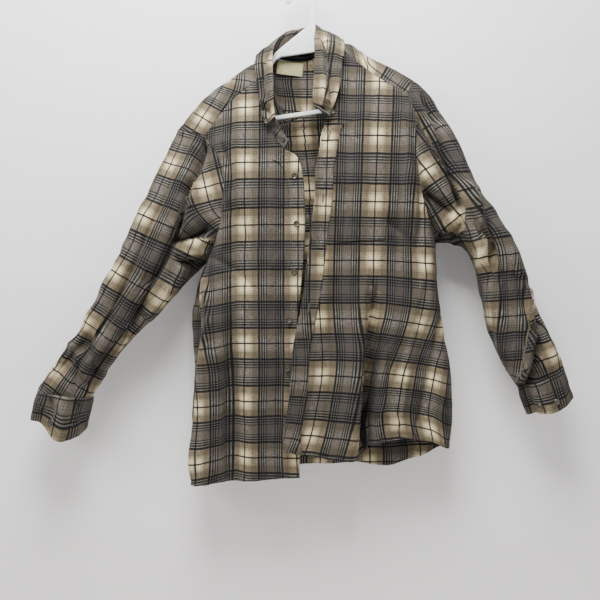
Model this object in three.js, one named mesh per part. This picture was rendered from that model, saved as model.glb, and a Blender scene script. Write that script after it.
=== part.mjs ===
// A long-sleeved flannel shirt that hangs open on a moulded plastic hanger.
// Lengths are millimetres. X runs to the right as the shirt is looked at, Y away from the viewer, Z up.
// The origin is the inside top of the hanger's hook. Left and right in names are the wearer's own.
import * as THREE from 'three';

// Cloth
const WALL = 1.8;
const SEAM_GAP = 0.3;
const LAYER = WALL + SEAM_GAP;
const BAND_WIDTH = 33;
const FINE = 160;

// How many steps each grid takes
const ROWS_TO_ARMPIT = 8;
const ROWS_TO_HEM = 11;
const FRONT_COLUMNS = 24;
const BACK_COLUMNS = 24;
const SHOULDER_COLUMNS = 12;
const NECK_COLUMNS = 12;
const COLLAR_COLUMNS = 26;
const SLEEVE_ROWS = 14;
const PROFILE_STEPS = 6;
const BUTTON_SIDES = 10;
const BAND_ROWS = 20;
const POCKET_STEPS = 7;

// Hard pieces
const BUTTON = { radius: 5.7, thickness: 2.6, dish: 0.7 };
const SMALL_BUTTON = { radius: 4.6, thickness: 2.2, dish: 0.6 };
const HANGER = {
  thickness: 7, bevel: 0.8, armDepth: 12.65, hookInner: 21, hookOuter: 32, tipDrop: 36, tipRound: 6,
  rightNeck: [[34, -124], [50, -148], [72, -158], [98, -163]],
  leftNeck: [[-51, -150], [-62, -172], [-75, -193], [-94, -200]],
  carriesRight: [122, 146, 170, 188],
  carriesLeft: [-114, -138, -162, -184],
  apexLeft: [14, -97], apexRight: [25, -98],
  leftEnd: [[-191, -264], [-198, -275], [-200, -286], [-195, -295], [-184, -298]],
  rightEnd: [[184, -243], [196, -240], [203, -231], [203, -218], [197, -206]],
  gapLeft: [[-186, -272], [-190, -282], [-183, -290]],
  gapRight: [[178, -236], [190, -232], [192, -222], [184, -211]],
};

const vector = (x, y, z) => new THREE.Vector3(x, y, z);
const mix = (a, b, share) => a + (b - a) * share;
const clamp01 = value => Math.min(Math.max(value, 0), 1);
const smooth = value => {
  const share = clamp01(value);
  return share * share * (3 - 2 * share);
};

// A table has named columns, and a row for each section or fold.
const table = (columns, rows) => rows.map(
  row => Object.fromEntries(columns.split(' ').map((name, i) => [name, row[i]])));

// Reads a table between its rows, each column as one smooth curve through its values.
function read(rows, position) {
  const last = rows.length - 1;
  const start = Math.min(Math.max(Math.floor(position), 0), last - 1);
  const t = position - start;
  const before = rows[Math.max(start - 1, 0)];
  const from = rows[start];
  const to = rows[start + 1];
  const after = rows[Math.min(start + 2, last)];
  const row = {};
  for (const name of Object.keys(from)) {
    const leave = (to[name] - before[name]) / 2;
    const arrive = (after[name] - from[name]) / 2;
    const step = to[name] - from[name];
    row[name] = from[name] + t * (leave + t * (3 * step - 2 * leave - arrive
      + t * (leave + arrive - 2 * step)));
  }
  return row;
}

// Puts count + 1 points at equal distances along a line of points.
function resample(points, count) {
  const lengths = [0];
  for (let i = 1; i < points.length; i++) {
    lengths.push(lengths[i - 1] + points[i].distanceTo(points[i - 1]));
  }
  const whole = lengths[lengths.length - 1];
  const result = [];
  let i = 1;
  for (let k = 0; k <= count; k++) {
    const wanted = whole * k / count;
    while (i < points.length - 1 && lengths[i] < wanted) i++;
    const share = (wanted - lengths[i - 1]) / (lengths[i] - lengths[i - 1]);
    result.push(points[i - 1].clone().lerp(points[i], clamp01(share)));
  }
  return result;
}

// A fold is a soft ridge, or with a negative height a trough, along a line down the panel.
const FOLD_COLUMNS = 'topX topZ bottomX bottomZ height half fade';

function foldHeight(folds, x, z) {
  let sum = 0;
  for (const fold of folds) {
    const down = (fold.topZ - z) / (fold.topZ - fold.bottomZ);
    const centre = mix(fold.topX, fold.bottomX, down);
    const length = fold.topZ - fold.bottomZ;
    const ends = smooth(down * length / fold.fade) * smooth((1.25 - down) * length / fold.fade);
    sum += fold.height * ends * Math.exp(-(((x - centre) / fold.half) ** 2));
  }
  return sum;
}

// Fronts, a row for each level from the yoke seam to the hem, from the front edge to the side.
// The side column is the armhole down to the armpit row, and the side seam below it.
const FRONT_LEVELS = 'edgeX edgeZ edgeY sideX sideZ sideY cornerY turn arch';
const RIGHT_FRONT = {
  armpit: 7,
  rows: table(FRONT_LEVELS, [
    [-86, -212, -24, -181, -313, -22, -25, 10, 12],
    [-74, -254, -34, -163, -341, -32, -36, 22, 10],
    [-63, -296, -44, -148, -372, -38, -44, 26, 6],
    [-39, -337, -50, -144, -407, -42, -49, 28, 3],
    [-9, -358, -52, -148, -444, -42, -50, 30, 0],
    [2, -397, -54, -152, -481, -38, -48, 30, 0],
    [5, -446, -54, -164, -517, -26, -44, 30, 0],
    [5, -501, -54, -180, -548, -6, -42, 26, 0],
    [2, -555, -54, -188, -591, -4, -44, 28, 0],
    [-4, -619, -54, -190, -657, -2, -46, 28, 0],
    [-11, -702, -52, -192, -728, -2, -48, 28, 0],
    [-9, -775, -50, -197, -800, -2, -46, 28, 0],
    [-7, -848, -50, -203, -876, -2, -44, 26, 0],
    [-5, -903, -50, -209, -931, -2, -42, 24, 0],
    [-4, -944, -50, -207, -966, -2, -40, 22, 0],
  ]),
  folds: table(FOLD_COLUMNS, [
    [-130, -640, -124, -960, -12, 14, 120],
    [-158, -420, -165, -900, 6, 14, 120],
    [-84, -300, -62, -700, 6, 24, 120],
    [-98, -700, -88, -960, 7, 16, 120],
    [-40, -520, -52, -940, -5, 18, 160],
  ]),
  hem: table('x rise', [[-207, 0], [-150, 4], [-90, 2], [-40, 0], [0, 0]]),
};
const LEFT_FRONT = {
  armpit: 9,
  rows: table(FRONT_LEVELS, [
    [78, -152, -22, 198, -233, -20, -22, 8, -8],
    [67, -196, -32, 207, -262, -28, -33, 22, -4],
    [57, -242, -42, 211, -293, -34, -41, 26, 0],
    [48, -280, -50, 211, -324, -38, -46, 28, 0],
    [36, -313, -54, 210, -350, -40, -48, 28, 0],
    [31, -346, -58, 214, -376, -40, -50, 28, 0],
    [24, -387, -62, 218, -405, -38, -50, 28, 0],
    [23, -427, -64, 226, -438, -34, -48, 28, 0],
    [16, -483, -64, 239, -477, -22, -44, 28, 0],
    [11, -529, -64, 250, -511, -4, -40, 26, 0],
    [0, -619, -64, 254, -585, -2, -38, 26, 0],
    [-17, -710, -64, 264, -669, -2, -36, 26, 0],
    [-24, -801, -64, 281, -756, -2, -34, 26, 0],
    [-35, -865, -62, 283, -838, -2, -32, 24, 0],
    [-31, -896, -62, 277, -898, -2, -30, 22, 0],
  ]),
  folds: table(FOLD_COLUMNS, [
    [138, -600, 112, -920, -32, 13, 170],
    [112, -560, 86, -920, 9, 15, 160],
    [170, -520, 158, -880, 6, 18, 160],
    [216, -560, 226, -880, -6, 13, 140],
    [60, -540, 40, -900, -5, 20, 160],
    [190, -300, 176, -560, -6, 12, 110],
  ]),
  hem: table('x rise', [
    [-31, 0], [10, -8], [60, -16], [104, -18], [126, 10], [184, 21], [236, 16], [277, 0],
  ]),
};

// Back, a row for each level; below the armpits its sides are the fronts' own side seams.
const BACK = {
  rows: table('leftX leftZ leftY rightX rightZ rightY backY turn wing', [
    [-167, -331, 18, 192, -235, 18, 21, 6, 0],
    [-156, -390, 21, 203, -300, 20, 23, 8, 0],
    [-154, -448, 20, 215, -370, 20, 25, 10, 0],
    [-164, -506, 10, 234, -446, 14, 27, 16, 0],
    [-180, -548, -6, 250, -511, -4, 27, 24, 4],
    [-190, -657, -2, 258, -620, -2, 28, 28, 24],
    [-195, -765, -2, 272, -720, -2, 28, 28, 18],
    [-203, -876, -2, 283, -820, -2, 27, 26, 10],
    [-207, -966, -2, 277, -898, -2, 26, 22, 2],
  ]),
  armpit: 4,
  folds: table(FOLD_COLUMNS, [
    [-110, -420, -128, -950, 8, 18, 160],
    [-72, -520, -76, -950, -6, 16, 160],
    [-20, -330, -30, -940, 7, 20, 200],
    [46, -520, 40, -940, -6, 17, 160],
    [92, -330, 104, -930, 8, 19, 180],
    [150, -440, 168, -920, -6, 16, 160],
    [204, -520, 218, -900, 6, 15, 140],
  ]),
  hem: table('x rise', [[-207, 0], [0, 0], [87, -9], [167, -24], [222, -18], [277, 0]]),
};

// Yoke, a row for each place along the shoulders, from the back seam over the ridge to the front.
// Between the fronts its front edge is the back of the neckline.
const YOKE = table('ridgeX ridgeZ ridgeY frontX frontZ frontY saddle', [
  [-236, -298, 0, -181, -313, -22, 5],
  [-186, -238, 0, -153, -279, -24, 4],
  [-137, -201, 0, -118, -238, -25, 4],
  [-84, -169, 0, -86, -212, -24, 3],
  [-58, -186, 15, -62, -163, 6, 0],
  [8, -211, 18, 8, -162, 15, 0],
  [62, -177, 14, 60, -139, 4, 0],
  [82, -133, 0, 78, -152, -22, 3],
  [129, -160, 0, 130, -197, -25, 4],
  [171, -180, 0, 167, -216, -24, 4],
  [211, -203, 0, 198, -233, -20, 5],
]);
const YOKE_NECK = { start: 3, end: 7 };
const BACK_SEAM_ARCH = 18;

// Collar, a row for each place along the neckline, from the right front's end round to the left's.
const STAND = table('baseX baseZ baseY topX topZ topY', [
  [-33, -343, -54, -24, -329, -56],
  [-55, -303, -49, -47, -291, -53],
  [-69, -262, -41, -53, -252, -49],
  [-80, -225, -31, -53, -214, -43],
  [-84, -190, -14, -55, -174, -30],
  [-76, -168, 0, -50, -138, -8],
  [-58, -158, 9, -30, -110, 6],
  [-24, -159, 15, -4, -101, 14],
  [12, -157, 15, 13, -97, 14],
  [38, -148, 11, 27, -96, 8],
  [56, -138, 2, 31, -108, -8],
  [69, -143, -12, 30, -139, -28],
  [69, -176, -27, 33, -176, -43],
  [61, -218, -39, 38, -218, -52],
  [53, -255, -48, 41, -253, -57],
  [47, -284, -54, 37, -277, -59],
]);
const LEAF = table('rollX rollZ rollY edgeX edgeZ edgeY', [
  [-49, -286, -57, -62, -303, -56],
  [-52, -256, -55, -74, -276, -54],
  [-52, -219, -49, -81, -230, -45],
  [-54, -177, -37, -87, -184, -33],
  [-50, -140, -13, -82, -156, -14],
  [-30, -109, 7, -60, -140, 18],
  [-5, -98, 17, -16, -150, 27],
  [13, -94, 17, 14, -149, 28],
  [28, -93, 10, 50, -134, 21],
  [31, -105, -8, 80, -123, 2],
  [28, -138, -31, 82, -149, -27],
  [29, -176, -47, 78, -184, -36],
  [28, -216, -57, 72, -220, -48],
  [28, -250, -62, 64, -258, -57],
  [37, -271, -64, 54, -288, -62],
]);

// Sleeves, a row for each section from the shoulder to the cuff seam: the two edges of its
// outline, its depth to each side of its middle, and how far the middle bows out past the chord.
const SLEEVE_LEVELS = 'outerX outerZ innerX innerZ middleY depth bow';
const RIGHT_SLEEVE = {
  rows: table(SLEEVE_LEVELS, [
    [-236, -298, -178, -547, 0, 30, 30],
    [-263, -354, -196, -566, -3, 38, 18],
    [-290, -412, -218, -583, -5, 42, 8],
    [-318, -478, -244, -614, -6, 44, 2],
    [-350, -546, -276, -648, -8, 44, 0],
    [-382, -608, -308, -680, -8, 43, 0],
    [-414, -663, -342, -714, -8, 42, 0],
    [-446, -714, -367, -753, -8, 40, 0],
    [-482, -763, -388, -784, -8, 36, 0],
    [-499, -791, -396, -800, -8, 30, 0],
  ]),
  folds: table('around start end depth half', [
    [0.27, 0.25, 0.72, -9, 0.035],
    [0.17, 0.45, 0.95, -7, 0.03],
    [0.38, 0.55, 0.98, -7, 0.035],
    [0.70, 0.2, 0.9, -7, 0.04],
  ]),
};
const LEFT_SLEEVE = {
  rows: table(SLEEVE_LEVELS, [
    [211, -203, 250, -511, 0, 28, -14],
    [245, -238, 264, -511, -2, 36, -8],
    [275, -291, 284, -511, -4, 42, -3],
    [301, -350, 304, -518, -5, 46, 0],
    [331, -408, 321, -540, -6, 49, 0],
    [365, -458, 332, -572, -8, 51, 0],
    [399, -517, 342, -614, -8, 52, 0],
    [425, -585, 349, -657, -8, 52, 0],
    [448, -653, 364, -706, -8, 50, 0],
    [474, -706, 387, -750, -8, 44, 0],
    [492, -748, 411, -783, -8, 34, 0],
  ]),
  folds: table('around start end depth half', [
    [0.30, 0.3, 0.85, -9, 0.035],
    [0.20, 0.5, 0.97, -7, 0.03],
    [0.42, 0.15, 0.6, -8, 0.035],
    [0.72, 0.2, 0.9, -7, 0.04],
  ]),
};
// The share of a section's points that its turn at the side takes
const TURN_SHARE = { front: 0.14, back: 0.1 };
const ARMHOLE_BLEND = 0.3;
// How near to the ridge the yoke's profile has its shoulders
const YOKE_SHAPE = { behind: 0.2, before: 0.34 };
// How the collar falls from its roll: which way it leans out, where it bends and how much
const LEAF_FALL = { lean: 0.4, out: 4, bend: 0.35, rise: 3, swell: 5 };
// Where buttons and the label sit, as shares of the piece that carries them
const FRONT_BUTTONS = { count: 6, firstZ: -391, step: 88, across: 0.46 };
const CUFF_BUTTONS = { across: [0.38, 0.49], down: 0.72 };
// A band or a pocket: its first and last level, and how far from the front edge its two sides are
const BAND = { to: 13.98, inner: [1, 1], outer: [BAND_WIDTH, BAND_WIDTH], lift: LAYER + 0.4 };
const BUTTON_BAND = { ...BAND, from: 3.4 };
const HOLE_BAND = { ...BAND, from: 3.3 };
const POCKET = { from: 6.1, to: 8.82, inner: [47, 53], outer: [136, 142], lift: LAYER + 0.5 };
const PLACKET = { rows: [10, 14], columns: [17, 19], lift: LAYER + 0.25 };
const LABEL = { from: 0.31, to: 0.475, under: 4, height: 22, thickness: 1 };
// How far the stand's foot is above the neckline, and the leaf is out from the stand's roll
const STAND_FOOT = 1;
const ROLL_CLEAR = 1.5;
const STAND_ENDS = { right: 4, left: 3 };

// Cuffs: how far each goes on past the sleeve's end, and how its lower edge droops at the front.
const CUFF = { length: 54, rows: 4, overlap: 0.1, start: 0.8, step: LAYER * 1.15, clear: 1.2 };
const CUFF_ENDS = {
  right: { along: vector(-0.22, 0, -0.97), droop: 32, toward: vector(0.5, -0.86, 0), width: 1.02 },
  left: { along: vector(0.30, 0, -0.95), droop: 10, toward: vector(0, -1, 0), width: 0.98 },
};

function frontSection(panel, position) {
  const row = read(panel.rows, position);
  const last = panel.rows.length - 1;
  const outward = Math.sign(row.sideX - row.edgeX);
  const cornerX = row.sideX - outward * row.turn;
  const flatShare = 1 - TURN_SHARE.front;
  const points = [];
  for (let i = 0; i <= FINE; i++) {
    const t = i / FINE;
    const flat = clamp01(t / flatShare);
    const angle = clamp01((t - flatShare) / (1 - flatShare)) * Math.PI / 2;
    const x = mix(row.edgeX, cornerX, flat) + (row.sideX - cornerX) * Math.sin(angle);
    const share = (x - row.edgeX) / (row.sideX - row.edgeX);
    const hem = readAt(panel.hem, x) * smooth((position - last + 3) / 3);
    const z = mix(row.edgeZ, row.sideZ, share) + row.arch * Math.sin(Math.PI * share) + hem;
    const base = mix(row.edgeY, row.cornerY, flat) + (row.sideY - row.cornerY) * (1 - Math.cos(angle));
    points.push(vector(x, base - foldHeight(panel.folds, x, z) * Math.cos(angle), z));
  }
  return points;
}

// Reads a table with x and rise in straight steps between its rows.
function readAt(rows, x) {
  if (x <= rows[0].x) return rows[0].rise;
  for (let i = 1; i < rows.length; i++) {
    if (x <= rows[i].x) {
      return mix(rows[i - 1].rise, rows[i].rise, smooth((x - rows[i - 1].x) / (rows[i].x - rows[i - 1].x)));
    }
  }
  return rows[rows.length - 1].rise;
}

// The levels of a panel's grid, so that the armpit falls on the same row of every panel.
function levels(panel) {
  const last = panel.rows.length - 1;
  const result = [];
  for (let j = 0; j <= ROWS_TO_ARMPIT; j++) result.push(panel.armpit * j / ROWS_TO_ARMPIT);
  for (let j = 1; j <= ROWS_TO_HEM; j++) result.push(mix(panel.armpit, last, j / ROWS_TO_HEM));
  return result;
}

const frontGrid = panel => levels(panel).map(s => resample(frontSection(panel, s), FRONT_COLUMNS));

function backSection(position, left, right) {
  const row = read(BACK.rows, position);
  const last = BACK.rows.length - 1;
  const turnShare = TURN_SHARE.back;
  const points = [];
  for (let i = 0; i <= FINE; i++) {
    const t = i / FINE;
    const middle = clamp01((t - turnShare) / (1 - 2 * turnShare));
    const leftAngle = clamp01(1 - t / turnShare) * Math.PI / 2;
    const rightAngle = clamp01((t - 1 + turnShare) / turnShare) * Math.PI / 2;
    const wing = row.wing * Math.sin(2 * leftAngle);
    const x = mix(left.x + row.turn, right.x - row.turn, middle)
      - row.turn * Math.sin(leftAngle) + row.turn * Math.sin(rightAngle) - wing;
    const share = (x - left.x) / (right.x - left.x);
    const arch = BACK_SEAM_ARCH * Math.sin(Math.PI * clamp01(share)) * (1 - smooth(position / 3));
    const hem = readAt(BACK.hem, x) * smooth((position - last + 1.5) / 1.5);
    const z = mix(left.z, right.z, share) + arch + hem;
    const y = row.backY + (left.y - row.backY) * (1 - Math.cos(leftAngle))
      + (right.y - row.backY) * (1 - Math.cos(rightAngle));
    const flat = Math.cos(leftAngle) * Math.cos(rightAngle);
    points.push(vector(x, y + foldHeight(BACK.folds, x, z) * flat * smooth(position / 1.5), z));
  }
  return points;
}

function backGrid(rightFront, leftFront) {
  return levels(BACK).map((s, j) => {
    const row = read(BACK.rows, s);
    const below = j >= ROWS_TO_ARMPIT;
    const left = below ? rightFront[j][FRONT_COLUMNS] : vector(row.leftX, row.leftY, row.leftZ);
    const right = below ? leftFront[j][FRONT_COLUMNS] : vector(row.rightX, row.rightY, row.rightZ);
    return resample(backSection(s, left, right), BACK_COLUMNS);
  });
}

// The yoke's profile at one place along the shoulders, from the back seam to the front edge.
function yokeProfile(position, back, front) {
  const row = read(YOKE, position);
  const ridge = vector(row.ridgeX, row.ridgeY, row.ridgeZ);
  const behind = ridge.clone().lerp(back, YOKE_SHAPE.behind).add(vector(0, row.saddle, 0));
  const before = ridge.clone().lerp(front, YOKE_SHAPE.before).add(vector(0, -row.saddle, 0));
  const spine = new THREE.CatmullRomCurve3([back, behind, ridge, before, front], false, 'centripetal');
  return spine.getPoints(FINE);
}

// Its front edge is the right front's top edge, the back of the neckline, and the left front's.
function yokeLines(back, rightFront, leftFront) {
  const every = FRONT_COLUMNS / SHOULDER_COLUMNS;
  const stops = [];
  const add = (from, to, count, edge) => {
    for (let i = 0; i < count; i++) {
      const position = mix(from, to, i / count);
      const row = read(YOKE, position);
      stops.push({ position, front: edge ? edge(i) : vector(row.frontX, row.frontY, row.frontZ) });
    }
  };
  add(0, YOKE_NECK.start, SHOULDER_COLUMNS, i => rightFront[0][FRONT_COLUMNS - i * every]);
  add(YOKE_NECK.start, YOKE_NECK.end, NECK_COLUMNS, i => (i ? null : rightFront[0][0]));
  add(YOKE_NECK.end, YOKE.length - 1, SHOULDER_COLUMNS, i => leftFront[0][i * every]);
  stops.push({ position: YOKE.length - 1, front: leftFront[0][FRONT_COLUMNS] });
  const neck = stops.filter(stop => stop.front === null);
  for (const stop of neck) {
    const row = read(YOKE, stop.position);
    stop.front = vector(row.frontX, row.frontY, row.frontZ);
  }
  const seam = resample(back[0], stops.length - 1);
  return stops.map((stop, i) => yokeProfile(stop.position, seam[i], stop.front));
}

const yokeGrid = lines => lines.map(line => resample(line, PROFILE_STEPS));

// The armhole runs from the yoke's shoulder tip down the front to the armpit and up the back.
function armhole(yokeEdge, frontGridSide, backGridSide) {
  const half = PROFILE_STEPS / 2;
  const front = [...yokeEdge.slice(half), ...frontGridSide.slice(1, ROWS_TO_ARMPIT + 1)];
  const back = [...backGridSide.slice(0, ROWS_TO_ARMPIT).reverse(), ...yokeEdge.slice(1, half)];
  return [...front, ...back];
}
const ARMPIT_INDEX = PROFILE_STEPS / 2 + ROWS_TO_ARMPIT;

// One sleeve: rings that leave the armhole's own curve and become the sections of the table.
function sleeveGrid(sleeve, hole) {
  const count = hole.length;
  const front = ARMPIT_INDEX;
  const rings = [];
  const section = position => {
    const row = read(sleeve.rows, position);
    const outer = vector(row.outerX, row.middleY, row.outerZ);
    const inner = vector(row.innerX, row.middleY, row.innerZ);
    const middle = outer.clone().lerp(inner, 0.5);
    const ring = [];
    for (let i = 0; i < count; i++) {
      const half = i <= front ? i / front : 1 + (i - front) / (count - front);
      const angle = half * Math.PI;
      const share = Math.cos(angle);
      const point = middle.clone().lerp(outer, share);
      point.y -= row.depth * Math.sign(Math.sin(angle)) * Math.abs(Math.sin(angle)) ** 0.8;
      point.x += row.bow * Math.sin(angle) ** 2;
      ring.push(point);
    }
    return ring;
  };
  const start = section(0);
  for (let j = 0; j <= SLEEVE_ROWS; j++) {
    const share = j / SLEEVE_ROWS;
    const ring = section(share * (sleeve.rows.length - 1));
    const keep = 1 - smooth(share / ARMHOLE_BLEND);
    const centre = ring.reduce((sum, point) => sum.add(point), vector(0, 0, 0)).divideScalar(count);
    rings.push(ring.map((point, i) => {
      const turn = i / count;
      let inward = 0;
      for (const fold of sleeve.folds) {
        const ends = smooth((share - fold.start) / 0.15) * smooth((fold.end - share) / 0.15);
        inward += fold.depth * ends * Math.exp(-(((turn - fold.around) / fold.half) ** 2));
      }
      const away = point.clone().sub(centre).normalize();
      return point.clone().addScaledVector(away, inward)
        .add(hole[i].clone().sub(start[i]).multiplyScalar(keep));
    }));
  }
  return rings;
}

// A cuff goes on from the sleeve's last ring. Its ends lap, so the strip winds outward as it goes.
function cuffGrid(lastRing, end) {
  const count = lastRing.length;
  const lap = Math.round(count * CUFF.overlap);
  const centre = lastRing.reduce((sum, point) => sum.add(point), vector(0, 0, 0)).divideScalar(count);
  const first = Math.round(count * CUFF.start);
  const rows = [];
  for (let j = 0; j <= CUFF.rows; j++) {
    const share = j / CUFF.rows;
    const row = [];
    for (let i = 0; i <= count + lap; i++) {
      const away = lastRing[(first + i) % count].clone().sub(centre);
      const radial = away.clone().normalize();
      const front = Math.max(radial.dot(end.toward), 0) ** 2;
      const wind = CUFF.step * (i / count - 0.5);
      row.push(centre.clone().addScaledVector(away, mix(1, end.width, share))
        .addScaledVector(radial, wind)
        .addScaledVector(end.along, CUFF.clear + share * (CUFF.length - CUFF.clear + end.droop * front)));
    }
    rows.push(row);
  }
  return rows;
}

// The stand, from the neckline up to the roll. Its foot is on the nearest point of the neckline.
function standGrid(neckline) {
  const grid = [];
  for (let i = 0; i <= COLLAR_COLUMNS; i++) {
    const row = read(STAND, (STAND.length - 1) * i / COLLAR_COLUMNS);
    const wanted = vector(row.baseX, row.baseY, row.baseZ);
    const near = neckline.reduce((best, point) =>
      (point.distanceTo(wanted) < best.distanceTo(wanted) ? point : best));
    const top = vector(row.topX, row.topY, row.topZ);
    const rise = top.clone().sub(near).normalize();
    const foot = near.clone().addScaledVector(rise, STAND_FOOT);
    grid.push([0, 0.5, 1].map(share => foot.clone().lerp(top, share)));
  }
  return grid;
}

// The neckline: down the right front's cut, round the yoke's, and down the left front's.
function necklineOf(rightFront, yoke, leftFront) {
  const cut = (sheet, rows) => resample(sheet.grid.slice(0, rows + 1).map(row => row[0]), FINE);
  const behind = yoke.grid.slice(SHOULDER_COLUMNS, SHOULDER_COLUMNS + NECK_COLUMNS + 1);
  return [...cut(rightFront, STAND_ENDS.right).reverse(), ...resample(behind.map(line => line.at(-1)), FINE),
    ...cut(leftFront, STAND_ENDS.left)];
}

function leafGrid(count) {
  const grid = [];
  for (let i = 0; i <= count; i++) {
    const row = read(LEAF, (LEAF.length - 1) * i / count);
    const roll = vector(row.rollX, row.rollY, row.rollZ);
    const edge = vector(row.edgeX, row.edgeY, row.edgeZ);
    const { lean, out, rise, swell } = LEAF_FALL;
    const outward = vector(roll.x * lean - out, roll.y - out, 0).normalize();
    const lift = vector(0, 0, rise).addScaledVector(outward, swell);
    const bend = roll.clone().lerp(edge, LEAF_FALL.bend).add(lift);
    const start = roll.clone().addScaledVector(outward, ROLL_CLEAR).add(vector(0, 0, ROLL_CLEAR));
    const end = edge.clone().addScaledVector(outward, ROLL_CLEAR);
    const curve = new THREE.QuadraticBezierCurve3(start, bend, end);
    grid.push(resample(curve.getPoints(FINE), 5));
  }
  return grid;
}

// Vertex normals of a grid, towards the side that the sign picks.
function gridNormals(grid, closed, sign) {
  const rows = grid.length;
  const columns = grid[0].length;
  return grid.map((row, j) => row.map((_, i) => {
    const left = closed ? row[(i - 1 + columns) % columns] : row[Math.max(i - 1, 0)];
    const right = closed ? row[(i + 1) % columns] : row[Math.min(i + 1, columns - 1)];
    const up = grid[Math.max(j - 1, 0)][i];
    const down = grid[Math.min(j + 1, rows - 1)][i];
    return right.clone().sub(left).cross(down.clone().sub(up)).normalize().multiplyScalar(sign);
  }));
}

// A sheet of cloth before it has its thickness.
class Sheet {
  constructor(name, grid, sign, closed = false) {
    this.name = name;
    this.grid = grid;
    this.closed = closed;
    this.sign = sign;
    this.normals = gridNormals(grid, closed, sign);
  }

  // The rim's vertices as [row, column] pairs.
  rim() {
    const rows = this.grid.length;
    const columns = this.grid[0].length;
    const pairs = [];
    for (let i = 0; i < columns; i++) pairs.push([0, i], [rows - 1, i]);
    if (!this.closed) for (let j = 1; j < rows - 1; j++) pairs.push([j, 0], [j, columns - 1]);
    return pairs;
  }

  // Moves the rim in along the cloth by half of a seam's gap.
  trim(amount) {
    const rows = this.grid.length;
    const columns = this.grid[0].length;
    const moved = this.rim().map(([j, i]) => {
      const innerJ = j === 0 ? 1 : j === rows - 1 ? rows - 2 : j;
      const innerI = this.closed ? i : i === 0 ? 1 : i === columns - 1 ? columns - 2 : i;
      const direction = this.grid[innerJ][innerI].clone().sub(this.grid[j][i]).normalize();
      return [j, i, this.grid[j][i].clone().addScaledVector(direction, amount)];
    });
    for (const [j, i, point] of moved) this.grid[j][i] = point;
  }

  // The same cloth moved out by a distance, over a range of its rows and columns.
  layer(name, distance, rowRange, columnRange) {
    const pick = (list, [from, to]) => list.slice(from, to + 1);
    const grid = pick(this.grid, rowRange).map((row, j) => pick(row, columnRange).map((point, i) =>
      point.clone().addScaledVector(this.normals[j + rowRange[0]][i + columnRange[0]], distance)));
    return new Sheet(name, grid, this.sign);
  }
}

// Where two sheets meet at a seam, their rims take one shared direction for their thickness.
function shareSeams(sheets, reach) {
  const before = sheets.map(sheet => sheet.normals.map(row => row.map(normal => normal.clone())));
  sheets.forEach((sheet, a) => {
    for (const [j, i] of sheet.rim()) {
      const sum = before[a][j][i].clone();
      sheets.forEach((other, b) => {
        if (a === b) return;
        let best = reach;
        let found = null;
        for (const [row, column] of other.rim()) {
          const distance = other.grid[row][column].distanceTo(sheet.grid[j][i]);
          if (distance < best) {
            best = distance;
            found = before[b][row][column];
          }
        }
        if (found) sum.add(found);
      });
      sheet.normals[j][i] = sum.normalize();
    }
  });
}

// A closed wall: the sheet's points moved half the thickness to each side, joined round the rim.
function wallGeometry(sheet, thickness = WALL) {
  const { grid, normals, closed } = sheet;
  const rows = grid.length;
  const columns = grid[0].length;
  const positions = [];
  for (const side of [0.5, -0.5]) {
    grid.forEach((row, j) => row.forEach((point, i) => {
      const moved = point.clone().addScaledVector(normals[j][i], side * thickness);
      positions.push(moved.x, moved.y, moved.z);
    }));
  }
  const outer = (j, i) => j * columns + i % columns;
  const inner = (j, i) => rows * columns + outer(j, i);
  const faces = [];
  const quad = (a, b, c, d) => faces.push(a, b, c, a, c, d);
  const across = closed ? columns : columns - 1;
  for (let j = 0; j < rows - 1; j++) {
    for (let i = 0; i < across; i++) {
      quad(outer(j, i), outer(j, i + 1), outer(j + 1, i + 1), outer(j + 1, i));
      quad(inner(j, i), inner(j + 1, i), inner(j + 1, i + 1), inner(j, i + 1));
    }
  }
  for (let i = 0; i < across; i++) {
    quad(outer(0, i), inner(0, i), inner(0, i + 1), outer(0, i + 1));
    quad(outer(rows - 1, i), outer(rows - 1, i + 1), inner(rows - 1, i + 1), inner(rows - 1, i));
  }
  if (!closed) {
    for (let j = 0; j < rows - 1; j++) {
      quad(outer(j, 0), outer(j + 1, 0), inner(j + 1, 0), inner(j, 0));
      quad(outer(j, across), inner(j, across), inner(j + 1, across), outer(j + 1, across));
    }
  }
  if (sheet.sign < 0) {
    for (let k = 0; k < faces.length; k += 3) [faces[k + 1], faces[k + 2]] = [faces[k + 2], faces[k + 1]];
  }
  const geometry = new THREE.BufferGeometry();
  geometry.setAttribute('position', new THREE.Float32BufferAttribute(positions, 3));
  geometry.setIndex(faces);
  geometry.computeVertexNormals();
  return geometry;
}

// Materials
const plaidCloth = new THREE.MeshStandardMaterial({ color: 0x8f8778, roughness: 0.95, metalness: 0 });
const tagCloth = new THREE.MeshStandardMaterial({ color: 0xd8cf9f, roughness: 0.8, metalness: 0 });
const buttonPlastic = new THREE.MeshStandardMaterial({ color: 0x4a4038, roughness: 0.35, metalness: 0 });
const hangerPlastic = new THREE.MeshStandardMaterial({ color: 0xf2f2ef, roughness: 0.4, metalness: 0 });

const shirt = new THREE.Group();

function addMesh(name, geometry, material) {
  const mesh = new THREE.Mesh(geometry, material);
  mesh.name = name;
  shirt.add(mesh);
  return mesh;
}

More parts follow.
